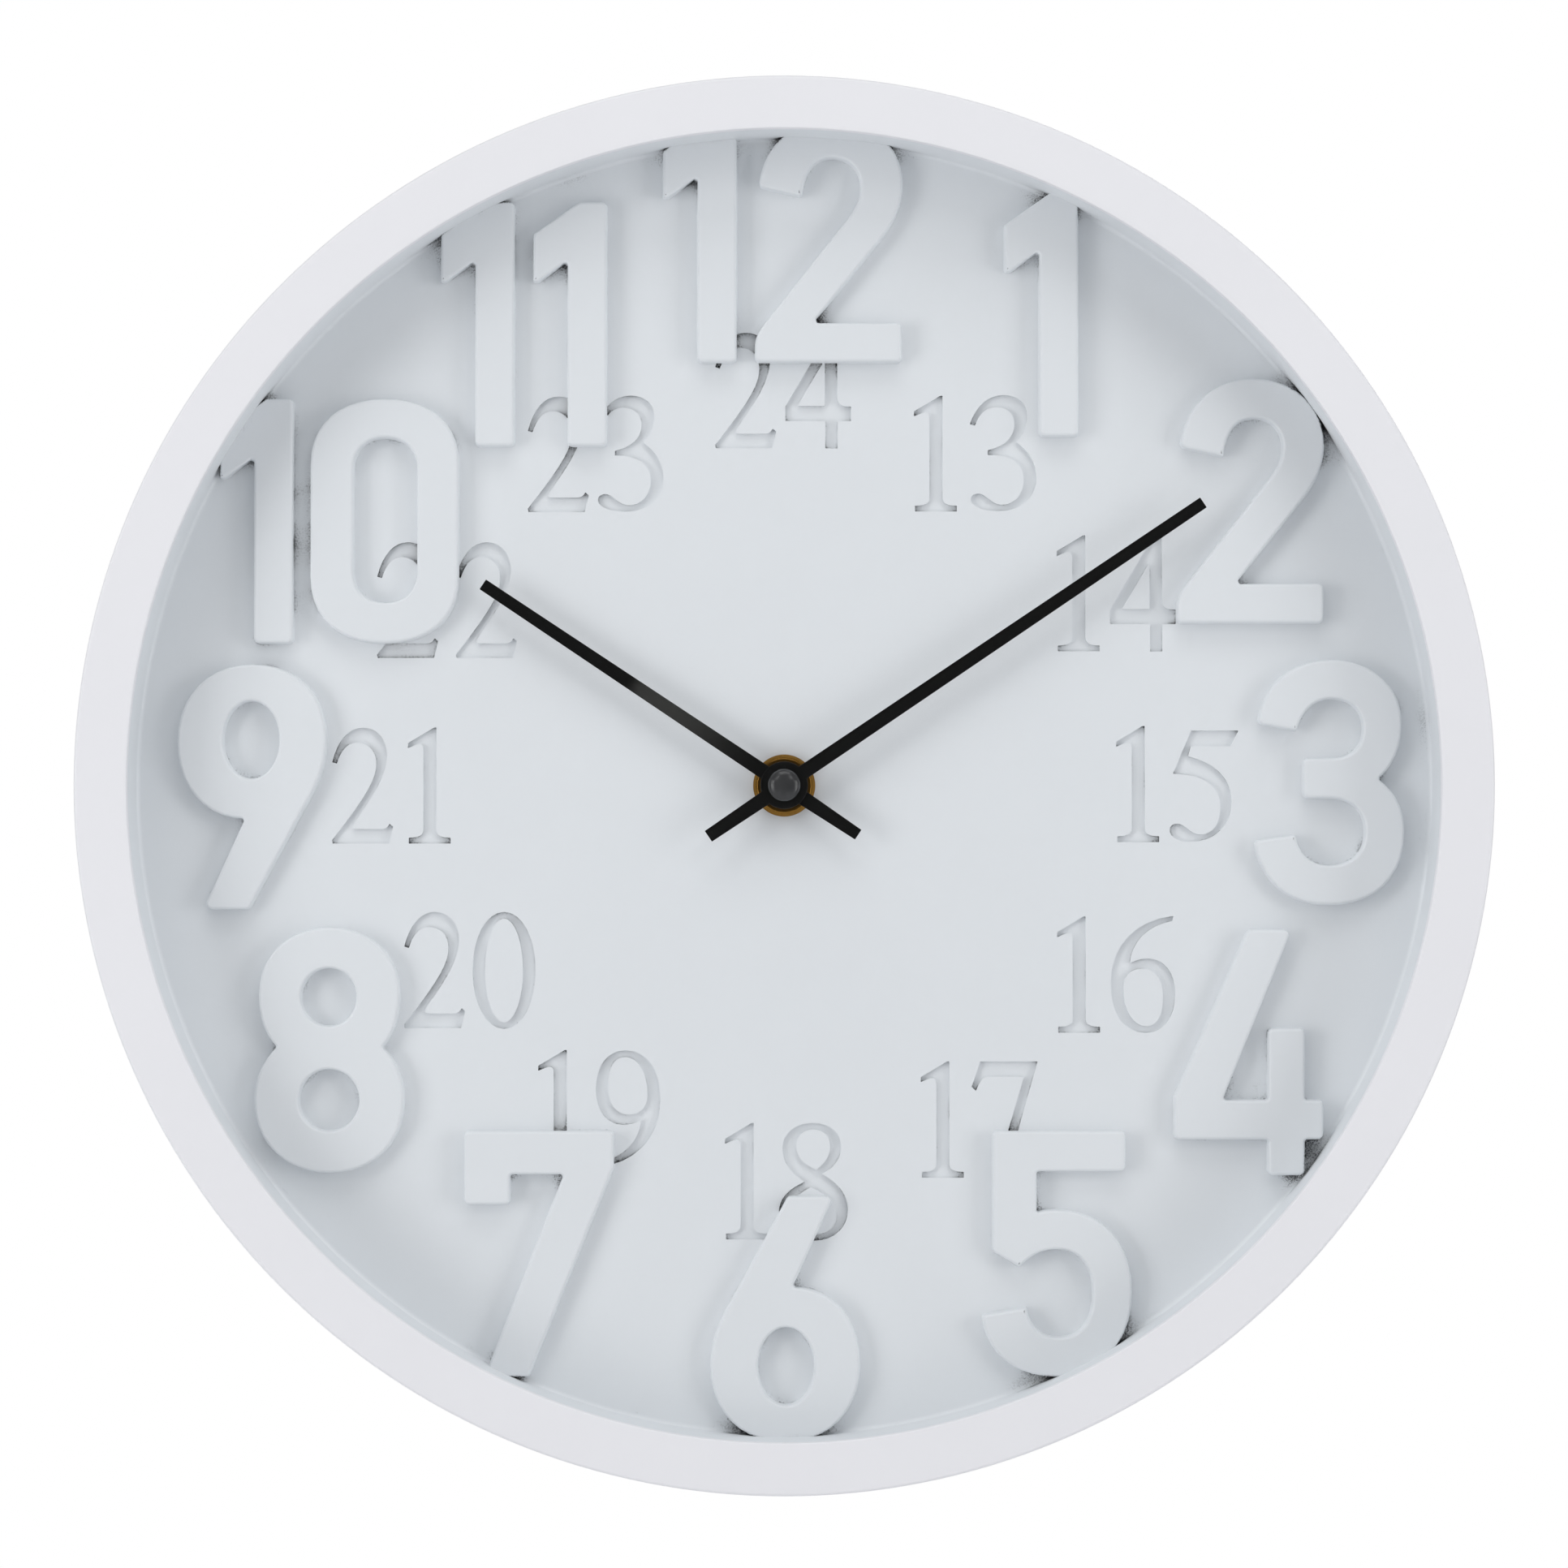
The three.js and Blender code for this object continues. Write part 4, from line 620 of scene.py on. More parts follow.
def moulded(name, colour, roughness, grain=0.35, depth=0.01, dust=0.25, pale_edges=0.2):
    """Moulded plastic: fine grain, a slow mottle, a little dust on top and paler edges, as edge wear and a
    painted highlight.
    """
    material, tree, shader = new_finish(name)
    surface = effect(tree, FINE_GRAIN, Grain_Size=grain, Mottle_Size=14.0)
    film = effect(tree, DUST_FILM, Patch_Size=6.0)["Dust"]
    edge = effect(tree, EDGE_WEAR_AND_HIGHLIGHT, Width=0.05)["Edge"]
    body = blended(tree, surface["Mottle"], scaled(colour, 0.82), scaled(colour, 1.15))
    # Paler convex edges: edge wear and a painted highlight.
    body = blended(tree, times(tree, edge, pale_edges), body, linear(200, 200, 200))
    body = blended(tree, times(tree, film, dust * 0.3), body, linear(176, 172, 165))
    tree.links.new(body, shader.inputs["Base Color"])
    rough = between(tree, surface["Mottle"], roughness - 0.07, roughness + 0.07)
    rough = maths(tree, "ADD", rough, times(tree, film, dust * 0.4), clamp=True)
    tree.links.new(rough, shader.inputs["Roughness"])
    raised(tree, shader, surface["Height"], depth)
    return material


def sprayed_white(name, colour, roughness, grain, depth, bare_amount=0.0, reach=1.6):
    """White paint sprayed on a black moulding: fine mist grain, thin where the spray can't reach, and painted
    shade darkening its tight corners.
    """
    material, tree, shader = new_finish(name)
    surface = effect(tree, FINE_GRAIN, Grain_Size=grain, Mottle_Size=45.0)
    body = blended(tree, surface["Mottle"], scaled(colour, 0.985), scaled(colour, 1.01))
    if bare_amount:
        spray = effect(tree, THIN_SPRAY_AND_PAINTED_SHADE, Reach=reach, Speck_Size=0.32, Amount=bare_amount)
        # Painted shade: the white is darkened towards 72 percent of itself in tight corners, where shade
        # falls.
        body = blended(
            tree, times(tree, spray["Painted Shade"], 0.18), body, scaled(colour, 0.72)
        )
        body = blended(tree, spray["Bare"], body, linear(38, 38, 40))
    tree.links.new(body, shader.inputs["Base Color"])
    rough = between(tree, surface["Mottle"], roughness - 0.04, roughness + 0.04)
    tree.links.new(rough, shader.inputs["Roughness"])
    raised(tree, shader, surface["Height"], depth)
    shader.inputs["Specular IOR Level"].default_value = 0.4
    return material


def enamelled_black(name, roughness, tone, grain=0.12, depth=0.003, painted_highlight=0.0):
    """Black enamel on thin metal, from satin to gloss, with a painted highlight of paler grey along a length
    of a hand.
    """
    material, tree, shader = new_finish(name)
    surface = effect(tree, FINE_GRAIN, Grain_Size=grain, Mottle_Size=5.0)
    film = effect(tree, DUST_FILM, Patch_Size=1.5)["Dust"]
    body = blended(tree, surface["Mottle"], scaled(tone, 0.8), scaled(tone, 1.2))
    body = blended(tree, times(tree, film, 0.02), body, linear(170, 168, 165))
    # Painted highlight: paler grey along part of the hand, on one side of its axis, where a lamp's reflection
    # would fall.
    if painted_highlight:
        highlight_share = effect(
            tree, PAINTED_HAND_HIGHLIGHT, Centre=(0.0, 0.0, AXIS_HEIGHT), Start=9.0, Full=31.0, End=42.0
        )["Share"]
        body = blended(tree, times(tree, highlight_share, painted_highlight), body, linear(92, 92, 89))
    tree.links.new(body, shader.inputs["Base Color"])
    tree.links.new(
        between(tree, surface["Mottle"], roughness - 0.04, roughness + 0.05),
        shader.inputs["Roughness"],
    )
    raised(tree, shader, surface["Height"], depth)
    shader.inputs["Specular IOR Level"].default_value = 0.35
    return material


def turned_metal(name, colour, roughness, spacing=0.1, depth=0.004, tarnish=0.8):
    """Metal turned in a lathe, with fine rings and a slow tarnish."""
    material, tree, shader = new_finish(name)
    marks = effect(tree, TURNING_MARKS, Centre=(0.0, 0.0, AXIS_HEIGHT), Spacing=spacing)
    edge = effect(tree, EDGE_WEAR_AND_HIGHLIGHT, Width=0.03)["Edge"]
    body = blended(tree, marks["Tone"], scaled(colour, tarnish), scaled(colour, 1.08))
    # Brighter convex edges: edge wear and a painted highlight.
    body = blended(tree, times(tree, edge, 0.5), body, scaled(colour, 1.35))
    tree.links.new(body, shader.inputs["Base Color"])
    tree.links.new(
        between(tree, marks["Height"], roughness - 0.06, roughness + 0.08),
        shader.inputs["Roughness"],
    )
    raised(tree, shader, marks["Height"], depth)
    shader.inputs["Metallic"].default_value = 1.0
    return material


def plated_sheet(name, colour, roughness, length=18.0, depth=0.003):
    """Plated sheet metal with fine drawn lines and cloudy patches."""
    material, tree, shader = new_finish(name)
    lines = effect(tree, BRUSHING, Length=length)
    film = effect(tree, DUST_FILM, Patch_Size=5.0)["Dust"]
    body = blended(tree, lines["Tone"], scaled(colour, 0.75), scaled(colour, 1.15))
    body = blended(tree, times(tree, film, 0.15), body, linear(150, 146, 140))
    tree.links.new(body, shader.inputs["Base Color"])
    rough = between(tree, lines["Height"], roughness - 0.08, roughness + 0.1)
    tree.links.new(rough, shader.inputs["Roughness"])
    raised(tree, shader, lines["Height"], depth)
    shader.inputs["Metallic"].default_value = 1.0
    return material


def clear_window(name):
    """Clear flat glass that hardly shows, with the faintest smear in its polish."""
    material, tree, shader = new_finish(name)
    surface = effect(tree, FINE_GRAIN, Grain_Size=2.0, Mottle_Size=60.0)
    body = blended(tree, surface["Mottle"], (0.010, 0.012, 0.012, 1), (0.016, 0.018, 0.018, 1))
    tree.links.new(body, shader.inputs["Base Color"])
    tree.links.new(between(tree, surface["Mottle"], 0.02, 0.06), shader.inputs["Roughness"])
    shader.inputs["Alpha"].default_value = 0.018
    return material


def battery_sleeve(name, colour, cap_colour, left, right):
    """A plain two-tone sleeve with bare crimped ends, banded along X. left and right are row metres."""
    material, tree, shader = new_finish(name)
    across = part_of(tree, object_spot(tree), "X")
    surface = effect(tree, FINE_GRAIN, Grain_Size=0.3, Mottle_Size=9.0)
    length = right - left
    band = remap(tree, across, left + 0.62 * length, left + 0.625 * length)
    start = remap(tree, across, left + 0.0012, left + 0.0013)
    end = remap(tree, across, right - 0.0024, right - 0.0025)
    sleeve = times(tree, start, end)
    body = blended(tree, band, colour, cap_colour)
    body = blended(tree, times(tree, surface["Mottle"], 0.25), body, scaled(colour, 0.5))
    body = blended(tree, sleeve, linear(176, 174, 170), body)
    tree.links.new(body, shader.inputs["Base Color"])
    tree.links.new(maths(tree, "SUBTRACT", 1.0, sleeve, clamp=True), shader.inputs["Metallic"])
    tree.links.new(between(tree, surface["Mottle"], 0.26, 0.38), shader.inputs["Roughness"])
    raised(tree, shader, surface["Height"], 0.004)
    return material


CASE_WHITE = sprayed_white("case_white", linear(238, 237, 240), 0.42, 0.5, 0.004)
# The dial's white: specks of bare moulding, and painted shade within 7 mm of its tight corners.
DIAL_WHITE = sprayed_white("dial_white", linear(233, 236, 239), 0.62, 0.28, 0.012, 0.6, 7.0)
SATIN_BLACK = enamelled_black("satin_black", 0.38, linear(5, 5, 5))
# The hour hand's black carries a painted highlight along its length.
BLACK_WITH_PAINTED_HIGHLIGHT = enamelled_black("black_with_painted_highlight", 0.36, linear(6, 6, 6), painted_highlight=0.34)
GLOSS_BLACK = enamelled_black("gloss_black", 0.2, linear(58, 58, 59), 0.3, 0.0006)
NUT_BRASS = turned_metal("nut_brass", linear(142, 104, 46), 0.22)
ARBOR_BRASS = turned_metal("arbor_brass", linear(190, 156, 96), 0.28, 0.08)
ZINC_SHEET = plated_sheet("zinc_sheet", linear(188, 190, 192), 0.34)
ZINC_SCREW = plated_sheet("zinc_screw", linear(178, 180, 182), 0.36, 3.0)
SOFT_IRON = plated_sheet("soft_iron", linear(132, 133, 136), 0.5, 8.0)
BLACK_MOULDING = moulded("black_moulding", linear(30, 30, 32), 0.55)
KNOB_BLACK = moulded("knob_black", linear(34, 34, 36), 0.45, 0.25, 0.006)
ACETAL_WHITE = moulded("acetal_white", linear(232, 230, 222), 0.4, 0.2, 0.003, 0.1, 0.0)
RUBBER_BLACK = moulded("rubber_black", linear(28, 28, 28), 0.85, 0.2, 0.012, 0.4, 0.05)
BOARD_GREEN = moulded("board_green", linear(38, 92, 52), 0.42, 0.6, 0.004, 0.2, 0.0)
CHIP_RESIN = moulded("chip_resin", linear(18, 18, 19), 0.3, 0.4, 0.01, 0.1, 0.0)
COPPER_WIRE = plated_sheet("copper_wire", linear(188, 110, 62), 0.35, 0.4, 0.01)
MAGNET_GREY = moulded("magnet_grey", linear(72, 73, 76), 0.4, 0.3, 0.006, 0.1, 0.1)
WINDOW = clear_window("window_glass")


# ---- Figure outlines: the height is 100, the left edge and the foot are 0 ----
# M starts a contour, L is a straight line, C is a cubic curve, Z closes. Later contours are holes.
BOLD = {
    "0": "M 0.4 27 L 0.4 73 C 0.4 90 12.5 100 31 100 C 49.5 100 61.2 90 61.2 73 L 61.2 27 "
    "C 61.2 10 49.5 0 31 0 C 12.5 0 0.4 10 0.4 27 Z "
    "M 18.4 29.5 L 18.4 71 C 18.4 79 23.5 83.6 31.1 83.6 C 38.8 83.6 43.8 79 43.8 71 L 43.8 29.5 "
    "C 43.8 21.5 38.8 17 31.1 17 C 23.5 17 18.4 21.5 18.4 29.5 Z",
    "1": "M 14 0 L 30.4 0 L 30.4 100 L 19 100 L 0 86.7 L 0 67 L 2.5 67 L 14 75.3 Z",
    "2": "M 0 0 L 60 0 L 60 16.5 L 24.5 16.5 L 52.5 51.5 C 57 57.5 60.5 65 60.5 73 "
    "C 60.5 89 48 100 31 100 C 15 100 3 88.5 1.5 71.5 L 19.5 67.5 C 20 77 24 83.3 31.5 83.3 "
    "C 38.5 83.3 43 78.5 43 71.5 C 43 66.5 41 63 37 58 L 3.5 15.5 C 1 12 0 10 0 6 Z",
    "3": "M 1.5 73.5 C 3.5 89.5 15 100 32 100 C 48.5 100 60.5 89 60.5 74.5 C 60.5 64 57 56.5 51 51.5 "
    "C 57.5 46.5 61.5 40 61.5 30 C 61.5 11 49 0 30.5 0 C 13 0 2 10.5 0 26.5 L 17.2 29 "
    "C 18.5 20.5 24 16.5 31 16.5 C 39.5 16.5 45 21.5 45 30 C 45 38.5 39.5 43.3 31.5 43.3 "
    "L 20 43.3 L 20 60 L 32 60 C 39.5 60 44.3 64.5 44.3 71.8 C 44.3 79.5 39 83.7 31.8 83.7 "
    "C 24.5 83.7 19.5 78.5 17.8 70.7 Z",
    "4": "M 30.5 100 L 0.3 32 L 0.3 14.5 L 38.3 14.5 L 38.3 0 L 53.7 0 L 53.7 14.5 L 61.3 14.5 "
    "L 61.3 31 L 53.7 31 L 53.7 60 L 38.3 60 L 38.3 31 L 20.5 31 L 48.7 100 Z",
    "5": "M 4.7 100 L 59 100 L 59 83.2 L 23 83.2 L 23 67.3 C 25.5 68 28 68.2 31 68.2 "
    "C 49 68.2 61.7 54.5 61.7 35 C 61.7 14 49.5 0 30.5 0 C 13 0 2 10.5 0 25.5 L 18.7 28.7 "
    "C 20 21 24.5 16.5 31.5 16.5 C 40.5 16.5 45.3 23.5 45.3 34 C 45.3 45 40 51.7 31 51.7 "
    "C 24.5 51.7 20 49 15.8 44.5 L 4.7 51 Z",
    "7": "M 0.3 100 L 61.3 100 L 61.3 85 L 26.8 0 L 8.3 0 L 40.5 82 L 19.3 82 L 19.3 69.7 L 0.3 69.7 Z",
    "8": "M 31 100 C 47.5 100 59.7 88.5 59.7 73 C 59.7 63 57 56 52.8 51.3 C 58 46 61.5 39 61.5 30 "
    "C 61.5 12 49 0 31 0 C 13 0 0.3 12 0.3 30 C 0.3 39 4 46 9.2 51.3 C 4.7 56 2 63 2 73 "
    "C 2 88.5 14.5 100 31 100 Z "
    "M 30.7 83 C 37 83 41.6 78 41.6 71.5 C 41.6 65 37 60 30.7 60 C 24.5 60 19.7 65 19.7 71.5 "
    "C 19.7 78 24.5 83 30.7 83 Z "
    "M 30.8 42 C 37.5 42 42.8 36.5 42.8 29.7 C 42.8 23 37.5 17.5 30.8 17.5 C 24 17.5 18.8 23 18.8 29.7 "
    "C 18.8 36.5 24 42 30.8 42 Z",
    "9": "M 30 0 L 52 40.5 C 58.5 51.5 61.5 59 61.5 69 C 61.5 88 49 100 31 100 C 13 100 0.5 87 0.5 68.5 "
    "C 0.5 50 11.5 37 27.8 36.8 L 11 0 Z "
    "M 30.7 84.5 C 37 84.5 41.9 77.5 41.9 69 C 41.9 60.5 37 53.5 30.7 53.5 C 24.5 53.5 19.5 60.5 19.5 69 "
    "C 19.5 77.5 24.5 84.5 30.7 84.5 Z",
}
ROMAN = {
    "0": "M 27.3 100.3 C 43 100.3 54.4 78 54.4 50 C 54.4 22 43 -0.3 27.3 -0.3 C 11.5 -0.3 0.2 22 0.2 50 "
    "C 0.2 78 11.5 100.3 27.3 100.3 Z "
    "M 27.3 94.6 C 36.5 94.6 43.6 74 43.6 50 C 43.6 26 36.5 5.2 27.3 5.2 C 18 5.2 10.8 26 10.8 50 "
    "C 10.8 74 18 94.6 27.3 94.6 Z",
    "1": "M 1 0.5 L 37 0.5 L 37 5.5 C 29 5.7 25 7 24.7 12 L 24.7 100.5 L 22.5 100.3 L 0.3 87 L 0 82.5 "
    "C 5 84.5 8 86.3 10.5 86 C 12.8 85.6 13.5 84 13.5 80 L 13.5 12 C 13.2 7 9 5.7 1 5.5 Z",
    "2": "M 0.5 0.5 L 49 0.5 L 52.5 15 L 49.5 17.5 C 47.5 14 46 13 42 13 L 20.5 13 C 18 13 17.2 14.2 18.2 16 "
    "C 20 22 46 50 47.3 75 C 47.3 91 38.5 100.2 26.5 100.2 C 14 100.2 5 90 0 70.5 L 4 69.3 "
    "C 7.5 80 12.5 87.3 21 87.3 C 31 87.3 38 80.5 38 69.5 C 38 57 32 44 0 3.5 Z",
    "3": "M 0 76 C 6 92 15.5 101 29 101 C 41 101 49 94.5 49.3 84 C 49.5 74 46.5 67 40 60.5 "
    "C 51 53 57.3 42 57.3 29.5 C 57.3 12 43.5 0.8 25 0.8 C 12 0.8 1 4.5 1 11 C 1 14 3.5 16 7.5 16 "
    "C 14 16 18.5 6.5 27.5 6.3 C 39 6.3 46.5 16 46.5 28 C 46.5 42 36 49.5 15.5 49.3 L 15.5 53.3 "
    "C 30 57 38.5 64 38.5 76 C 38.5 85 32 90.5 23 90.5 C 14 90.5 8 85 4.5 74.5 Z",
    "4": "M 35.5 0.3 L 46 0.3 L 46 24 L 57.5 24 L 57.5 36.5 C 52 36.3 46 37 45.8 44 L 45.5 99 L 38 99 "
    "L 1 36.5 L 1 24 L 35.5 24 Z M 11.3 37 L 35 37 L 35 77 Z",
    "5": "M 19.3 96.5 L 60 96.5 L 53 83 L 19 83 L 16.5 74.3 C 38 69.5 54 57 54 35.5 "
    "C 54 14 39.5 0.8 18 0.8 C 8 0.8 0.7 4.5 0.7 11 C 0.7 14.3 3.5 16.3 7 16.3 "
    "C 14.5 16.3 18 7.3 27 7 C 38.5 7 44.3 17 44.3 31.5 C 44.3 48.5 31 59 3.5 59.3 Z",
    "6": "M 54 100.8 C 22 97.5 0 76 0 43 C 0 17 11 0.3 30 0.3 C 46 0.3 55.5 14 55.5 34 "
    "C 55.5 52.5 46 64.3 32 64.3 C 26 64.3 21 62.7 16.5 60 C 18 78 31 92.5 53 96.5 Z "
    "M 27 55.5 C 38.5 55.5 45 46.5 45 31 C 45 15 39.5 6 30.5 6 C 19 6 11 20 11 38.5 "
    "C 11 49.5 17 55.5 27 55.5 Z",
    "7": "M 6.8 100.3 L 56 100.3 L 27.5 0.3 L 18.5 0.3 L 44 86 C 42.5 87.3 41 87.3 39 87.3 L 14 87.3 "
    "C 9 87.3 6.5 84 3 75 L -0.8 78.5 Z",
    "8": "M 27 100.5 C 41 100.5 51 92 51 80.5 C 51 69.5 44.5 61.5 34.5 56.5 C 47 50 56.7 40 56.7 26 "
    "C 56.7 10 44.5 -0.5 27.5 -0.5 C 10 -0.5 -2.5 9 -2.5 24 C -2.5 36 6 44 19.5 50 "
    "C 7 57.5 0.5 66.5 0.5 79 C 0.5 91.5 11.5 100.5 27 100.5 Z "
    "M 27 95 C 17.5 95 12.5 88 12.5 80.5 C 12.5 71 18.5 65 29.5 60.3 C 37 65.5 41.5 71.5 41.5 80.5 "
    "C 41.5 89 36 95 27 95 Z "
    "M 25 45.5 C 14 39.5 6.5 34 6.5 23.5 C 6.5 12 15 5 28 5 C 40 5 47 11.5 47 21 "
    "C 47 32 39 38.5 25 45.5 Z",
}

# Where the figures stand: the figures, their foot, and the left edge of each.
RAISED_FIGURES = [
    ("12", 90.5, -26.1, -6.4),
    ("1", 74.6, 47.1),
    ("2", 34.6, 83.9),
    ("3", -25.7, 100.3),
    ("4", -83.4, 83.0),
    ("5", -126.4, 41.9),
    ("6", -140.3, -16.1),
    ("7", -126.4, -68.6),
    ("8", -82.9, -113.5),
    ("9", -26.6, -130.2),
    ("10", 30.3, -121.0, -101.8),
    ("11", 72.5, -73.7, -53.9),
]
ENGRAVED_FIGURES = [
    ("13", 58.7, 27.8, 39.8),
    ("14", 28.7, 58.4, 69.6),
    ("15", -12.2, 71.1, 82.4),
    ("16", -53.0, 58.4, 69.9),
    ("17", -84.0, 29.2, 40.3),
    ("18", -97.2, -12.7, -0.5),
    ("19", -81.6, -52.7, -40.2),
    ("20", -52.0, -81.4, -66.8),
    ("21", -12.5, -96.9, -80.7),
    ("22", 27.3, -87.3, -70.4),
    ("23", 58.6, -55.0, -40.2),
    ("24", 72.3, -14.8, 0.0),
]


def contours_of(outline, steps):
    """The contours of an outline written with M, L, C and Z, as lists of (x, y, is a corner)."""
    words = outline.split()
    contours, i = [], 0
    while i < len(words):
        word = words[i]
        if word == "M":
            contours.append([(float(words[i + 1]), float(words[i + 2]))])
            i += 3
        elif word == "L":
            contours[-1].append((float(words[i + 1]), float(words[i + 2])))
            i += 3
        elif word == "C":
            x0, y0 = contours[-1][-1]
            x1, y1, x2, y2, x3, y3 = map(float, words[i + 1 : i + 7])
            for k in range(1, steps + 1):
                t = k / steps
                s = 1 - t
                parts = s**3, 3 * s * s * t, 3 * s * t * t, t**3
                contours[-1].append(
                    (
                        parts[0] * x0 + parts[1] * x1 + parts[2] * x2 + parts[3] * x3,
                        parts[0] * y0 + parts[1] * y1 + parts[2] * y2 + parts[3] * y3,
                    )
                )
            i += 7
        else:
            i += 1
    return [without_repeats(c) for c in contours]


def without_repeats(contour):
    return [p for i, p in enumerate(contour) if math.dist(p, contour[i - 1]) > 1e-3]


def softened(contour, outside, inside, least=22):
    """Rounds the contour's real corners: radius `outside` where the material turns out, `inside` where in."""
    count = len(contour)
    corners = []
    for i, here in enumerate(contour):
        before, after = contour[i - 1], contour[(i + 1) % count]
        a = math.atan2(here[1] - before[1], here[0] - before[0])
        b = math.atan2(after[1] - here[1], after[0] - here[0])
        turn = math.degrees((b - a + math.pi) % (2 * math.pi) - math.pi)
        radius = outside if turn > least else inside if turn < -least else 0
        corners.append((*here, radius))
    return eased(corners, 4)


def figure_outline(table, figure, x, y, size, steps, outside, inside):
    """A figure's contours on the dial, material on the left of every edge. A bold 6 is a 9 turned half
    round, and a roman 9 is a 6 turned half round."""
    turned_round = {("BOLD", "6"): ("9", 62, 100), ("ROMAN", "9"): ("6", 55, 100.5)}
    kind = "BOLD" if table is BOLD else "ROMAN"
    source, width, height = turned_round.get((kind, figure), (figure, None, None))
    contours = contours_of(table[source], steps)
    if width:
        contours = [[(width - u, height - v) for u, v in c] for c in contours]
    placed = [[(x + u * size / 100, y + v * size / 100) for u, v in c] for c in contours]
    return [softened(c, outside, inside) for c in facing(placed)]


# ---- Case ring and window ----
def make_case_ring():
    section = eased(
        [
            (CASE_RADIUS - CASE_WALL, 0, 0.3),
            (CASE_RADIUS, 0, 0.5),
            (CASE_RADIUS, CASE_DEPTH, 0.7),
            (BEZEL_INNER, CASE_DEPTH, 0.35),
            (BEZEL_INNER, BEZEL_BACK, 0.2),
            (CASE_RADIUS - CASE_WALL, BEZEL_BACK, 0.6),
        ],
        5,
    )
    ring = turned("case", section, ROUND)
    bosses, holes = [], []
    for x, y in screw_places():
        bosses.append(peg("boss", x, y, BOSS_RADIUS, FLOOR + GAP, BEZEL_BACK + 1))
        holes.append(peg("pilot", x, y, PILOT_RADIUS, FLOOR - 1, SCREW_HEAD_LEVEL + 15))
    ring = with_other(ring, merged(bosses), "UNION")
    ring = with_other(ring, merged(holes), "DIFFERENCE")
    fitted(smoothed(ring), "case_ring_white", CASE_WHITE, "case_ring")


def screw_places():
    """The dial screws' places, read off the frame."""
    spots = []
    for k in range(1, 7):
        x, y, _ = extent(f"dial_screw_{k}")
        spots.append((middle(x), middle(y)))
    return spots


def make_window():
    section = eased(
        [
            (0, LENS_BACK),
            (LENS_RADIUS, LENS_BACK, 0.25),
            (LENS_RADIUS, LENS_FRONT, 0.25),
            (0, LENS_FRONT),
        ],
        3,
    )
    window = turned("window", section, ROUND)
    fitted(smoothed(window), "front_window", WINDOW, "front_lens")


# ---- Dial ----
FIGURE_EDGE = 0.6  # rounding of a raised figure's top edge
FIGURE_DRAFT = 0.22  # how far its sides lean in over its height
RIM_DRAFT = 0.45  # how far the dish's wall opens out towards the bezel, whose edge hides its rim


def raised_figure(outline):
    rounding = [math.pi / 2 * k / 4 for k in range(5)]
    levels = [(0, FLOOR - 1.5), (0, FLOOR)]
    levels += [
        (FIGURE_DRAFT + FIGURE_EDGE * (1 - math.cos(a)), FIGURE_TOP - FIGURE_EDGE * (1 - math.sin(a)))
        for a in rounding
    ]
    return cut_out("figure", outline, levels)


def make_dial():
    section = eased(
        [
            (DIAL_HOLE, PLATE_BACK),
            (PLATE_EDGE, PLATE_BACK, 0.3),
            (PLATE_EDGE, FLOOR, 0.3),
            (DISH_OUTER, FLOOR),
            (DISH_OUTER, DISH_RIM, 0.3),
            (BEZEL_INNER + RIM_DRAFT, DISH_RIM, 0.15),
            (BEZEL_INNER, FLOOR, 0.9),
            (DIAL_HOLE, FLOOR, 0.2),
        ],
        5,
    )
    dish = turned("dish", section, ROUND)
    figures = merged(
        [
            raised_figure(figure_outline(BOLD, names[k], left, foot, RAISED_SIZE, 10, 1.25, 0.45))
            for names, foot, *lefts in RAISED_FIGURES
            for k, left in enumerate(lefts)
        ]
    )
    within = peg("within", 0, 0, BEZEL_INNER + 1, PLATE_BACK, FIGURE_TOP + 1, ROUND)
    dish = with_other(dish, with_other(figures, within, "INTERSECT"), "UNION")
    cuts = [
        cut_out(
            "cut",
            figure_outline(ROMAN, names[k], left, foot, ENGRAVED_SIZE, 8, 0.12, 0.12),
            [(0, FLOOR - ENGRAVED_DEPTH), (0, FLOOR + 1)],
        )
        for names, foot, *lefts in ENGRAVED_FIGURES
        for k, left in enumerate(lefts)
    ]
    cuts += [peg("hole", x, y, PILOT_RADIUS, PLATE_BACK - 1, FLOOR + 1) for x, y in screw_places()]
    dish = with_other(dish, merged(cuts), "DIFFERENCE")
    posts, pilots = [], []
    for k in (1, 2):
        x, y, z = extent(f"hanger_screw_{k}")
        rear = z[0] + HEAD_TO_POST
        section = eased(
            [
                (0, rear),
                (POST_RADIUS, rear, 0.4),
                (POST_RADIUS + 0.4, PLATE_BACK + 1),
                (0, PLATE_BACK + 1),
            ],
            3,
        )
        posts.append(turned("post", section, 48, (middle(x), middle(y))))
        pilots.append(peg("pilot", middle(x), middle(y), PILOT_RADIUS, rear - 1, rear + 9))
    dish = with_other(dish, merged(posts), "UNION")
    dish = with_other(dish, merged(pilots), "DIFFERENCE")
    dial = fitted(smoothed(dish, 30), "dial_moulding", DIAL_WHITE, "dial")
    dial.data.materials.append(BLACK_MOULDING)
    # The back and the outer edge of the moulding are left unpainted.
    for face in dial.data.polygons:
        depth = -face.center.y / MM
        away = math.hypot(face.center.x, face.center.z - AXIS_HEIGHT) / MM
        behind = face.normal.y > 0.5 or depth < FLOOR - ENGRAVED_DEPTH - 0.1
        if behind or away > DISH_OUTER - 0.05:
            face.material_index = 1
    flattened(dial)


# ---- Hands ----
MINUTE_BORE = 1.3
HOUR_BORE = 2.9
COLLET_RADIUS = 3.7
CAP_DOME = 1.75  # height of the cap's dome


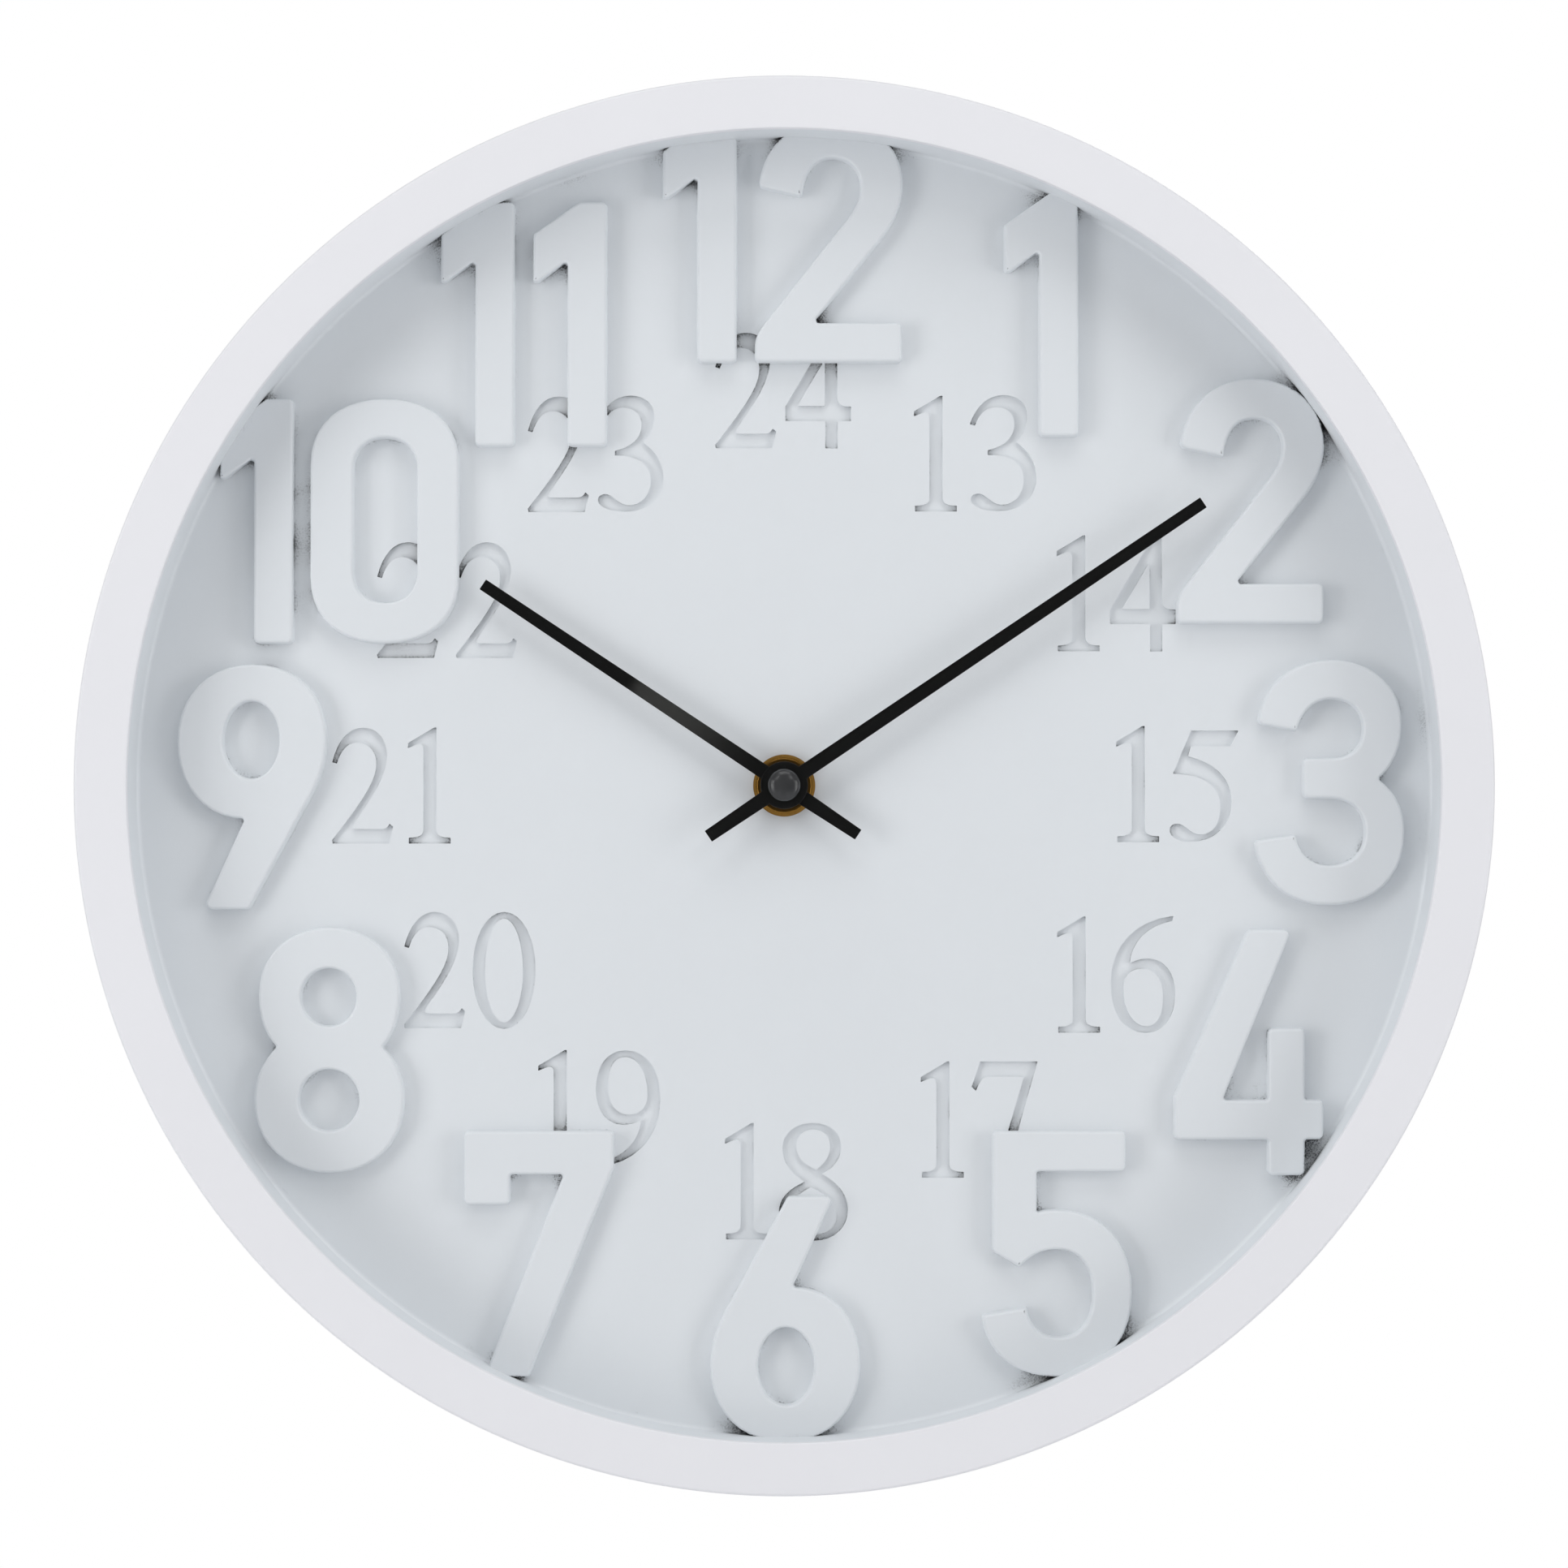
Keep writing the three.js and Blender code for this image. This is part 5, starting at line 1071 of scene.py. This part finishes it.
def hand_outline(length, tail, tip, tail_width, hub_width, hub_radius, degrees_clockwise):
    """A straight tapered bar through a round hub, turned clockwise from 12."""
    lean = math.asin(hub_width / 2 / hub_radius)
    right = [
        (hub_radius * math.sin(a), hub_radius * math.cos(a))
        for a in np.linspace(lean, math.pi - lean, 40)
    ]
    left = [(-x, y) for x, y in reversed(right)]
    corners = [(tip / 2, length, 0.12)]
    corners += [(x, y) for x, y in right]
    corners += [(tail_width / 2, -tail, 0.12), (-tail_width / 2, -tail, 0.12)]
    corners += [(x, y) for x, y in left]
    corners += [(-tip / 2, length, 0.12)]
    a = math.radians(degrees_clockwise)
    c, s = math.cos(a), math.sin(a)
    return [(x * c + y * s, -x * s + y * c) for x, y in eased(corners, 3)]


def make_hands():
    minute = cut_out(
        "minute",
        [hand_outline(107.9, 19.5, 2.55, 2.75, 3.1, 5.05, 56), circle(0, 0, MINUTE_BORE, 48)],
        rounded_levels(MINUTE_LEVEL[0], MINUTE_LEVEL[1], 0.1),
    )
    fitted(smoothed(minute), "minute_hand_bar", SATIN_BLACK, "minute_hand")
    bar_back = HOUR_LEVEL[1] - 0.5
    hour = cut_out(
        "hour",
        [hand_outline(77.4, 19, 2.5, 2.5, 3.1, 5.05, 303.7), circle(0, 0, HOUR_BORE, 64)],
        rounded_levels(bar_back, HOUR_LEVEL[1], 0.1),
    )
    collet_front = bar_back + 0.25
    section = eased(
        [
            (HOUR_BORE, HOUR_LEVEL[0], 0.1),
            (COLLET_RADIUS, HOUR_LEVEL[0], 0.15),
            (COLLET_RADIUS, collet_front),
            (HOUR_BORE, collet_front),
        ],
        3,
    )
    collet = turned("collet", section, 64)
    hour = with_other(hour, collet, "UNION")
    fitted(smoothed(hour), "hour_hand_bar", BLACK_WITH_PAINTED_HIGHLIGHT, "hour_hand")
    back, top = CAP_LEVEL
    dome = [
        (CAP_RADIUS * math.cos(a), top - CAP_DOME + CAP_DOME * math.sin(a))
        for a in np.linspace(0, math.pi / 2, 18)
    ]
    dome[-1] = (0, top)
    under = [(MINUTE_BORE, back), (CAP_RADIUS - 0.1, back), (CAP_RADIUS, back + 0.1)]
    cap = turned("cap", [*under, *dome, (0, back + 1.2), (MINUTE_BORE, back + 1.2)])
    fitted(smoothed(cap), "hand_cap_dome", GLOSS_BLACK, "hand_cap")


# ---- Nut and washer ----
def make_nut_and_washer():
    back, top = NUT_LEVEL
    section = eased(
        [
            (DIAL_HOLE, back, 0.15),
            (NUT_RADIUS, back, 0.2),
            (NUT_RADIUS, top - 0.9, 0.15),
            (NUT_RADIUS - 0.95, top, 0.15),
            (DIAL_HOLE + 0.35, top, 0.08),
            (DIAL_HOLE, top - 0.35, 0.05),
        ],
        3,
    )
    nut = turned("nut", section)
    fitted(smoothed(nut, 25), "bush_nut", NUT_BRASS, "fixing_nut")
    back, top = WASHER_LEVEL
    section = eased(
        [
            (DIAL_HOLE, back, 0.1),
            (WASHER_RADIUS, back, 0.15),
            (WASHER_RADIUS, top, 0.15),
            (DIAL_HOLE, top, 0.1),
        ],
        3,
    )
    washer = turned("washer", section)
    fitted(smoothed(washer), "bush_washer", NUT_BRASS, "flat_washer")


# ---- Pieces made by Geometry Nodes ----
def worked(tree, name, values):
    """Runs a shape tree with named values and returns the plain mesh object that it makes."""
    holder = added(name, bpy.data.meshes.new(name))
    step = holder.modifiers.new("shape", "NODES")
    step.node_group = tree
    for item in tree.interface.items_tree:
        if item.item_type == "SOCKET" and item.in_out == "INPUT" and item.name in values:
            step[item.identifier] = values[item.name]
    return as_mesh(holder)


def xyz(tree, x=0.0, y=0.0, z=0.0):
    return node(tree, "ShaderNodeCombineXYZ", {"X": x, "Y": y, "Z": z}).outputs[0]


def moved(tree, geometry, **settings):
    return node(tree, "GeometryNodeTransform", {"Geometry": geometry, **settings}).outputs[0]


def boxed(tree, size, centre):
    """A block in a shape tree, moved to its centre."""
    cube = node(tree, "GeometryNodeMeshCube", {"Size": size})
    return moved(tree, cube.outputs["Mesh"], Translation=centre)


def cylinder(tree, sides, radius, depth):
    inputs = {"Vertices": sides, "Radius": radius, "Depth": depth}
    return node(tree, "GeometryNodeMeshCylinder", inputs).outputs["Mesh"]


def joined_by(tree, operation, first, second):
    made = node(tree, "GeometryNodeMeshBoolean", {}, operation=operation, solver="EXACT")
    tree.links.new(first, made.inputs["Mesh 1" if operation == "DIFFERENCE" else "Mesh 2"])
    tree.links.new(second, made.inputs["Mesh 2"])
    return made.outputs["Mesh"]


def realised(tree, geometry):
    return node(tree, "GeometryNodeRealizeInstances", {"Geometry": geometry}).outputs[0]


def laid_along_y(tree, geometry, place, finish, result):
    """Ends a shape tree: the shape made along Z is laid along Y at its place and given its finish."""
    laid = moved(tree, geometry, Rotation=xyz(tree, -math.pi / 2), Translation=place)
    inputs = {"Geometry": realised(tree, laid), "Material": finish}
    tree.links.new(node(tree, "GeometryNodeSetMaterial", inputs).outputs[0], result)


def make_screw_tree():
    """A pan-head screw with a cross recess and a rolled thread, driven towards -Y. Metres."""
    tree, given, put = new_group(
        "pan_head_screw",
        "GeometryNodeTree",
        [
            ("Head Radius", FLOAT, 0.0026),
            ("Head Height", FLOAT, 0.0018),
            ("Shank Radius", FLOAT, 0.001),
            ("Shank Length", FLOAT, 0.011),
            ("Recess Width", FLOAT, 0.0007),
            ("Thread Pitch", FLOAT, 0.0009),
            ("Turn", FLOAT, 0.3),
            ("Underside", VECTOR, (0.0, 0.0, 0.0)),
            ("Finish", MATERIAL, None),
        ],
        [("Geometry", GEOMETRY)],
    )
    radius, height = given["Head Radius"], given["Head Height"]
    shank_radius, length = given["Shank Radius"], given["Shank Length"]
    ball = node(tree, "GeometryNodeMeshUVSphere", {"Segments": 48, "Rings": 24, "Radius": 1.0})
    wide = times(tree, radius, 1.04)
    dome = moved(tree, ball.outputs["Mesh"], Scale=xyz(tree, wide, wide, height))
    upper = boxed(tree, xyz(tree, 0.02, 0.02, 0.01), xyz(tree, 0, 0, 0.005))
    head = joined_by(tree, "INTERSECT", dome, upper)
    head = joined_by(tree, "INTERSECT", head, cylinder(tree, 48, radius, 0.02))
    slot_centre = xyz(tree, 0, 0, times(tree, height, 0.95))
    reach, deep = times(tree, radius, 1.15), times(tree, height, 1.1)
    first = boxed(tree, xyz(tree, reach, given["Recess Width"], deep), slot_centre)
    second = boxed(tree, xyz(tree, given["Recess Width"], reach, deep), slot_centre)
    head = joined_by(tree, "DIFFERENCE", head, joined_by(tree, "UNION", first, second))
    shank_middle = maths(tree, "MULTIPLY_ADD", length, -0.5, 0.0003)
    shank = cylinder(tree, 24, shank_radius, length)
    shank = moved(tree, shank, Translation=xyz(tree, 0, 0, shank_middle))
    head = joined_by(tree, "UNION", head, shank)
    threaded = times(tree, length, 0.85)
    spiral = node(
        tree,
        "GeometryNodeCurveSpiral",
        {
            "Resolution": 16,
            "Rotations": maths(tree, "DIVIDE", threaded, given["Thread Pitch"]),
            "Start Radius": shank_radius,
            "End Radius": shank_radius,
            "Height": threaded,
        },
    ).outputs[0]
    rib = node(tree, "GeometryNodeCurvePrimitiveCircle", {"Resolution": 4, "Radius": 0.00016})
    thread = node(
        tree,
        "GeometryNodeCurveToMesh",
        {"Curve": spiral, "Profile Curve": rib.outputs[0], "Fill Caps": True},
    ).outputs[0]
    thread = moved(tree, thread, Translation=xyz(tree, 0, 0, times(tree, length, -0.95)))
    whole = node(tree, "GeometryNodeJoinGeometry")
    tree.links.new(thread, whole.inputs[0])
    tree.links.new(head, whole.inputs[0])
    spun = moved(tree, whole.outputs[0], Rotation=xyz(tree, 0, 0, given["Turn"]))
    laid_along_y(tree, spun, given["Underside"], given["Finish"], put["Geometry"])
    return tree


SCREW_HEAD = 1.8  # height of a screw's head


def make_screws():
    tree = make_screw_tree()
    turns = {f"dial_screw_{k}": 0.4 * k for k in range(1, 7)}
    turns |= {f"hanger_screw_{k}": 0.7 + 0.9 * k for k in (1, 2)}
    for name, turn in turns.items():
        x, y, z = extent(name)
        underside = to_row([(middle(x), middle(y), z[0] + SCREW_HEAD)])[0]
        values = {
            "Shank Length": (z[1] - z[0] - SCREW_HEAD) * MM,
            "Turn": turn,
            "Underside": tuple(underside),
            "Finish": ZINC_SCREW,
        }
        screw = worked(tree, name + "_plated", values)
        fitted(smoothed(screw, 35), name + "_plated", ZINC_SCREW, name)


def make_knob_tree():
    """A thin setting knob with ribs round its rim and a sunk face, axis along Y. Metres."""
    tree, given, put = new_group(
        "ribbed_knob",
        "GeometryNodeTree",
        [
            ("Radius", FLOAT, 0.0045),
            ("Thickness", FLOAT, 0.0015),
            ("Ribs", INT, 28),
            ("Rib Radius", FLOAT, 0.00028),
            ("Sunk", FLOAT, 0.0004),
            ("Centre", VECTOR, (0.0, 0.0, 0.0)),
            ("Finish", MATERIAL, None),
        ],
        [("Geometry", GEOMETRY)],
    )
    radius, thickness = given["Radius"], given["Thickness"]
    rim = maths(tree, "SUBTRACT", radius, given["Rib Radius"])
    disc = cylinder(tree, 96, rim, thickness)
    rib = cylinder(tree, 10, given["Rib Radius"], times(tree, thickness, 0.94))
    spots = node(tree, "GeometryNodeMeshCircle", {"Vertices": given["Ribs"], "Radius": rim})
    ribs = node(
        tree,
        "GeometryNodeInstanceOnPoints",
        {"Points": spots.outputs["Mesh"], "Instance": rib},
    ).outputs[0]
    body = joined_by(tree, "UNION", disc, realised(tree, ribs))
    hollow = cylinder(tree, 64, times(tree, radius, 0.62), times(tree, given["Sunk"], 2.0))
    hollow = moved(tree, hollow, Translation=xyz(tree, 0, 0, times(tree, thickness, 0.5)))
    body = joined_by(tree, "DIFFERENCE", body, hollow)
    socket_middle = maths(tree, "MULTIPLY_ADD", thickness, -0.5, -0.0001)
    socket = cylinder(tree, 32, 0.0012, 0.0022)
    socket = moved(tree, socket, Translation=xyz(tree, 0, 0, socket_middle))
    body = joined_by(tree, "DIFFERENCE", body, socket)
    laid_along_y(tree, body, given["Centre"], given["Finish"], put["Geometry"])
    return tree


def make_knob():
    x, y, z = extent("set_knob")
    knob = worked(
        make_knob_tree(),
        "knob",
        {
            "Radius": (x[1] - x[0]) / 2 * MM,
            "Thickness": (z[1] - z[0]) * MM,
            "Centre": tuple(to_row([(middle(x), middle(y), middle(z))])[0]),
            "Finish": KNOB_BLACK,
        },
    )
    fitted(smoothed(knob), "set_knob_ribbed", KNOB_BLACK, "set_knob")


# ---- Hanger plate ----
def make_hanger():
    x, y, z = extent("hanger_plate")
    outer = eased([(x[0], y[0], 3), (x[1], y[0], 3), (x[1], y[1], 3), (x[0], y[1], 3)], 10)
    top = -AXIS_HEIGHT / MM
    head, slot, drop = 4.8, 2.3, 9
    meet = math.asin(slot / head)
    keyhole = [
        (head * math.sin(a), top - drop + head * math.cos(a))
        for a in np.linspace(meet, 2 * math.pi - meet, 56)
    ]
    keyhole += [
        (slot * math.cos(a), top - slot + slot * math.sin(a))
        for a in np.linspace(math.pi, 0, 24)
    ]
    holes = [keyhole]
    for k in (1, 2):
        sx, sy, _ = extent(f"hanger_screw_{k}")
        holes.append(circle(middle(sx), middle(sy), PILOT_RADIUS))
    plate = cut_out("plate", [outer, *holes], rounded_levels(z[0], z[1], 0.15))
    fitted(smoothed(plate), "hanger_plate_pressed", ZINC_SHEET, "hanger_plate")


# ---- Battery ----
def make_battery():
    x, y, z = extent("battery")
    radius = (z[1] - z[0]) / 2
    left, right = x
    shoulder = right - 1.2
    section = eased(
        [
            (0, left + 0.15),
            (radius - 1.4, left + 0.15, 0.1),
            (radius - 1.1, left, 0.1),
            (radius - 0.25, left, 0.25),
            (radius, left + 0.5, 0.2),
            (radius, shoulder - 0.3, 0.25),
            (radius - 0.9, shoulder, 0.2),
            (radius - 1.3, shoulder - 0.25, 0.1),
            (2.9, shoulder - 0.25, 0.1),
            (2.7, shoulder + 0.1, 0.1),
            (2.6, right, 0.4),
            (0, right),
        ],
        4,
    )
    cell = turned("cell", section, FINE, (middle(y), middle(z)), "x")
    sleeve = battery_sleeve(
        "battery_sleeve", linear(44, 78, 62), linear(200, 168, 88), left * MM, right * MM
    )
    fitted(smoothed(cell), "battery_cell", sleeve, "battery")


# ---- Pieces refined from their frame nodes ----
def refined(name, node_name, width, material, angle=35):
    """A copy of a node, its loose triangles merged and its sharp edges rounded by `width` millimetres."""
    source = frame["nodes"][node_name]
    mesh = source.data.copy()
    shape = bmesh.new()
    shape.from_mesh(mesh)
    bmesh.ops.remove_doubles(shape, verts=shape.verts, dist=1e-6)
    bmesh.ops.dissolve_limit(
        shape, angle_limit=math.radians(1.0), verts=shape.verts, edges=shape.edges
    )
    shape.to_mesh(mesh)
    shape.free()
    piece = added(name, mesh)
    step = piece.modifiers.new("edges", "BEVEL")
    step.width = width * MM
    step.segments = 2
    step.limit_method = "ANGLE"
    step.angle_limit = math.radians(angle)
    step.use_clamp_overlap = True
    as_mesh(piece)
    return fitted(smoothed(piece), name, material, node_name)


def make_movement():
    refined("movement_housing_shell", "movement_housing", 0.25, BLACK_MOULDING)
    refined("movement_cover_plate", "movement_rear_cover", 0.2, BLACK_MOULDING)


KEPT_FINISHES = {
    "rubber_gasket": RUBBER_BLACK,
    "contact_positive": ZINC_SHEET,
    "contact_negative": ZINC_SHEET,
    "circuit_board": BOARD_GREEN,
    "quartz_crystal": ZINC_SCREW,
    "chip": CHIP_RESIN,
    "stator": SOFT_IRON,
    "coil_core": SOFT_IRON,
    "coil_bobbin": ACETAL_WHITE,
    "coil_winding": COPPER_WIRE,
    "rotor": MAGNET_GREY,
    "intermediate_wheel": ACETAL_WHITE,
    "fourth_wheel": ACETAL_WHITE,
    "third_wheel": ACETAL_WHITE,
    "centre_wheel": ACETAL_WHITE,
    "minute_arbor": ARBOR_BRASS,
    "motion_wheel": ACETAL_WHITE,
    "hour_wheel": ACETAL_WHITE,
}


def finish_kept_nodes():
    for name, material in KEPT_FINISHES.items():
        kept = frame["nodes"][name]
        if not kept.material_slots:
            kept.data.materials.append(material)
        for slot in kept.material_slots:
            slot.link = "OBJECT"
            slot.material = material


# ---- Room, light and camera ----
FLOOR_LEVEL = -600  # below the hands' axis
FLOOR_REACH = 1400


def make_floor():
    section = [
        (0, FLOOR_LEVEL - 5),
        (FLOOR_REACH, FLOOR_LEVEL - 5),
        (FLOOR_REACH, FLOOR_LEVEL),
        (0, FLOOR_LEVEL),
    ]
    floor = turned("floor", section)
    for v in floor.data.vertices:
        x, y, z = v.co
        v.co = (x, z - AXIS_HEIGHT, -y)
    material, tree, shader = new_finish("floor_pale")
    surface = effect(tree, FINE_GRAIN, Grain_Size=3.0, Mottle_Size=300.0)
    body = blended(tree, surface["Mottle"], linear(232, 232, 234), linear(240, 240, 242))
    tree.links.new(body, shader.inputs["Base Color"])
    shader.inputs["Roughness"].default_value = 0.8
    floor.data.materials.append(material)


def add_light(name, place, target, size, power):
    lamp = bpy.data.lights.new(name, "AREA")
    lamp.shape = "RECTANGLE"
    lamp.size, lamp.size_y = size
    lamp.energy = power
    lamp_object = added(name, lamp)
    lamp_object.location = place
    aim = Vector(target) - Vector(place)
    lamp_object.rotation_euler = aim.to_track_quat("-Z", "Y").to_euler()


# Name, degrees across and up from the dial's axis, metres away, size, watts.
SOFTBOXES = [
    ("softbox_above", 0, 63, 1.2, (1.0, 0.5), 4.0),
    ("softbox_left", -57, 0, 1.3, (0.5, 0.9), 5.4),
    ("softbox_right", 61, 0, 1.3, (0.5, 0.9), 4.5),
    ("softbox_upper_left", -32, 32, 1.3, (0.4, 0.4), 0.95),
    ("softbox_upper_right", 32, 32, 1.3, (0.4, 0.4), 0.95),
]


def make_room():
    world = bpy.data.worlds.new("room")
    bpy.context.scene.world = world
    world.use_nodes = True
    tree = world.node_tree
    tree.nodes.clear()
    seen = node(tree, "ShaderNodeBackground", {"Color": (1, 1, 1, 1), "Strength": 1.0})
    fill = node(tree, "ShaderNodeBackground", {"Color": (0.93, 0.97, 1.0, 1), "Strength": 0.37})
    glint = node(tree, "ShaderNodeBackground", {"Color": (1, 1, 1, 1), "Strength": 0.12})
    ray = tree.nodes.new("ShaderNodeLightPath")
    inputs = {0: ray.outputs["Is Glossy Ray"], 1: fill.outputs[0], 2: glint.outputs[0]}
    unseen = node(tree, "ShaderNodeMixShader", inputs)
    inputs = {0: ray.outputs["Is Camera Ray"], 1: unseen.outputs[0], 2: seen.outputs[0]}
    mixed = node(tree, "ShaderNodeMixShader", inputs)
    out = tree.nodes.new("ShaderNodeOutputWorld")
    tree.links.new(mixed.outputs[0], out.inputs["Surface"])
    face = (0, -CASE_DEPTH * MM, AXIS_HEIGHT)
    for name, across, up, away, size, power in SOFTBOXES:
        a, e = math.radians(across), math.radians(up)
        spot = Vector((math.sin(a) * math.cos(e), -math.cos(a) * math.cos(e), math.sin(e)))
        add_light(name, Vector(face) + away * spot, face, size, power)
    add_light("back_fill", (0.3, 1.3, 0.5), (0, 0, AXIS_HEIGHT), (1.2, 1.2), 10)


SENSOR_WIDTH = 36
SEEN_WIDTH = 0.3308  # metres across the picture at the bezel


def make_camera():
    """A long lens a little over a metre in front and slightly below the hands' axis."""
    lens = bpy.data.cameras.new("camera")
    camera = added("camera", lens)
    place = Vector((0.003, -1.22, AXIS_HEIGHT - 0.024))
    aim = Vector((0.0, -CASE_DEPTH * MM, AXIS_HEIGHT)) - place
    camera.location = place
    camera.rotation_euler = aim.to_track_quat("-Z", "Y").to_euler()
    lens.sensor_width = SENSOR_WIDTH
    lens.lens = SENSOR_WIDTH * aim.length / SEEN_WIDTH
    lens.clip_start, lens.clip_end = 0.05, 20
    bpy.context.scene.camera = camera


make_case_ring()
make_window()
make_dial()
make_hands()
make_nut_and_washer()
make_screws()
make_knob()
make_hanger()
make_battery()
make_movement()
finish_kept_nodes()
make_floor()
make_room()
make_camera()

bpy.context.scene.view_settings.view_transform = "Standard"
bpy.context.scene.view_settings.look = "None"
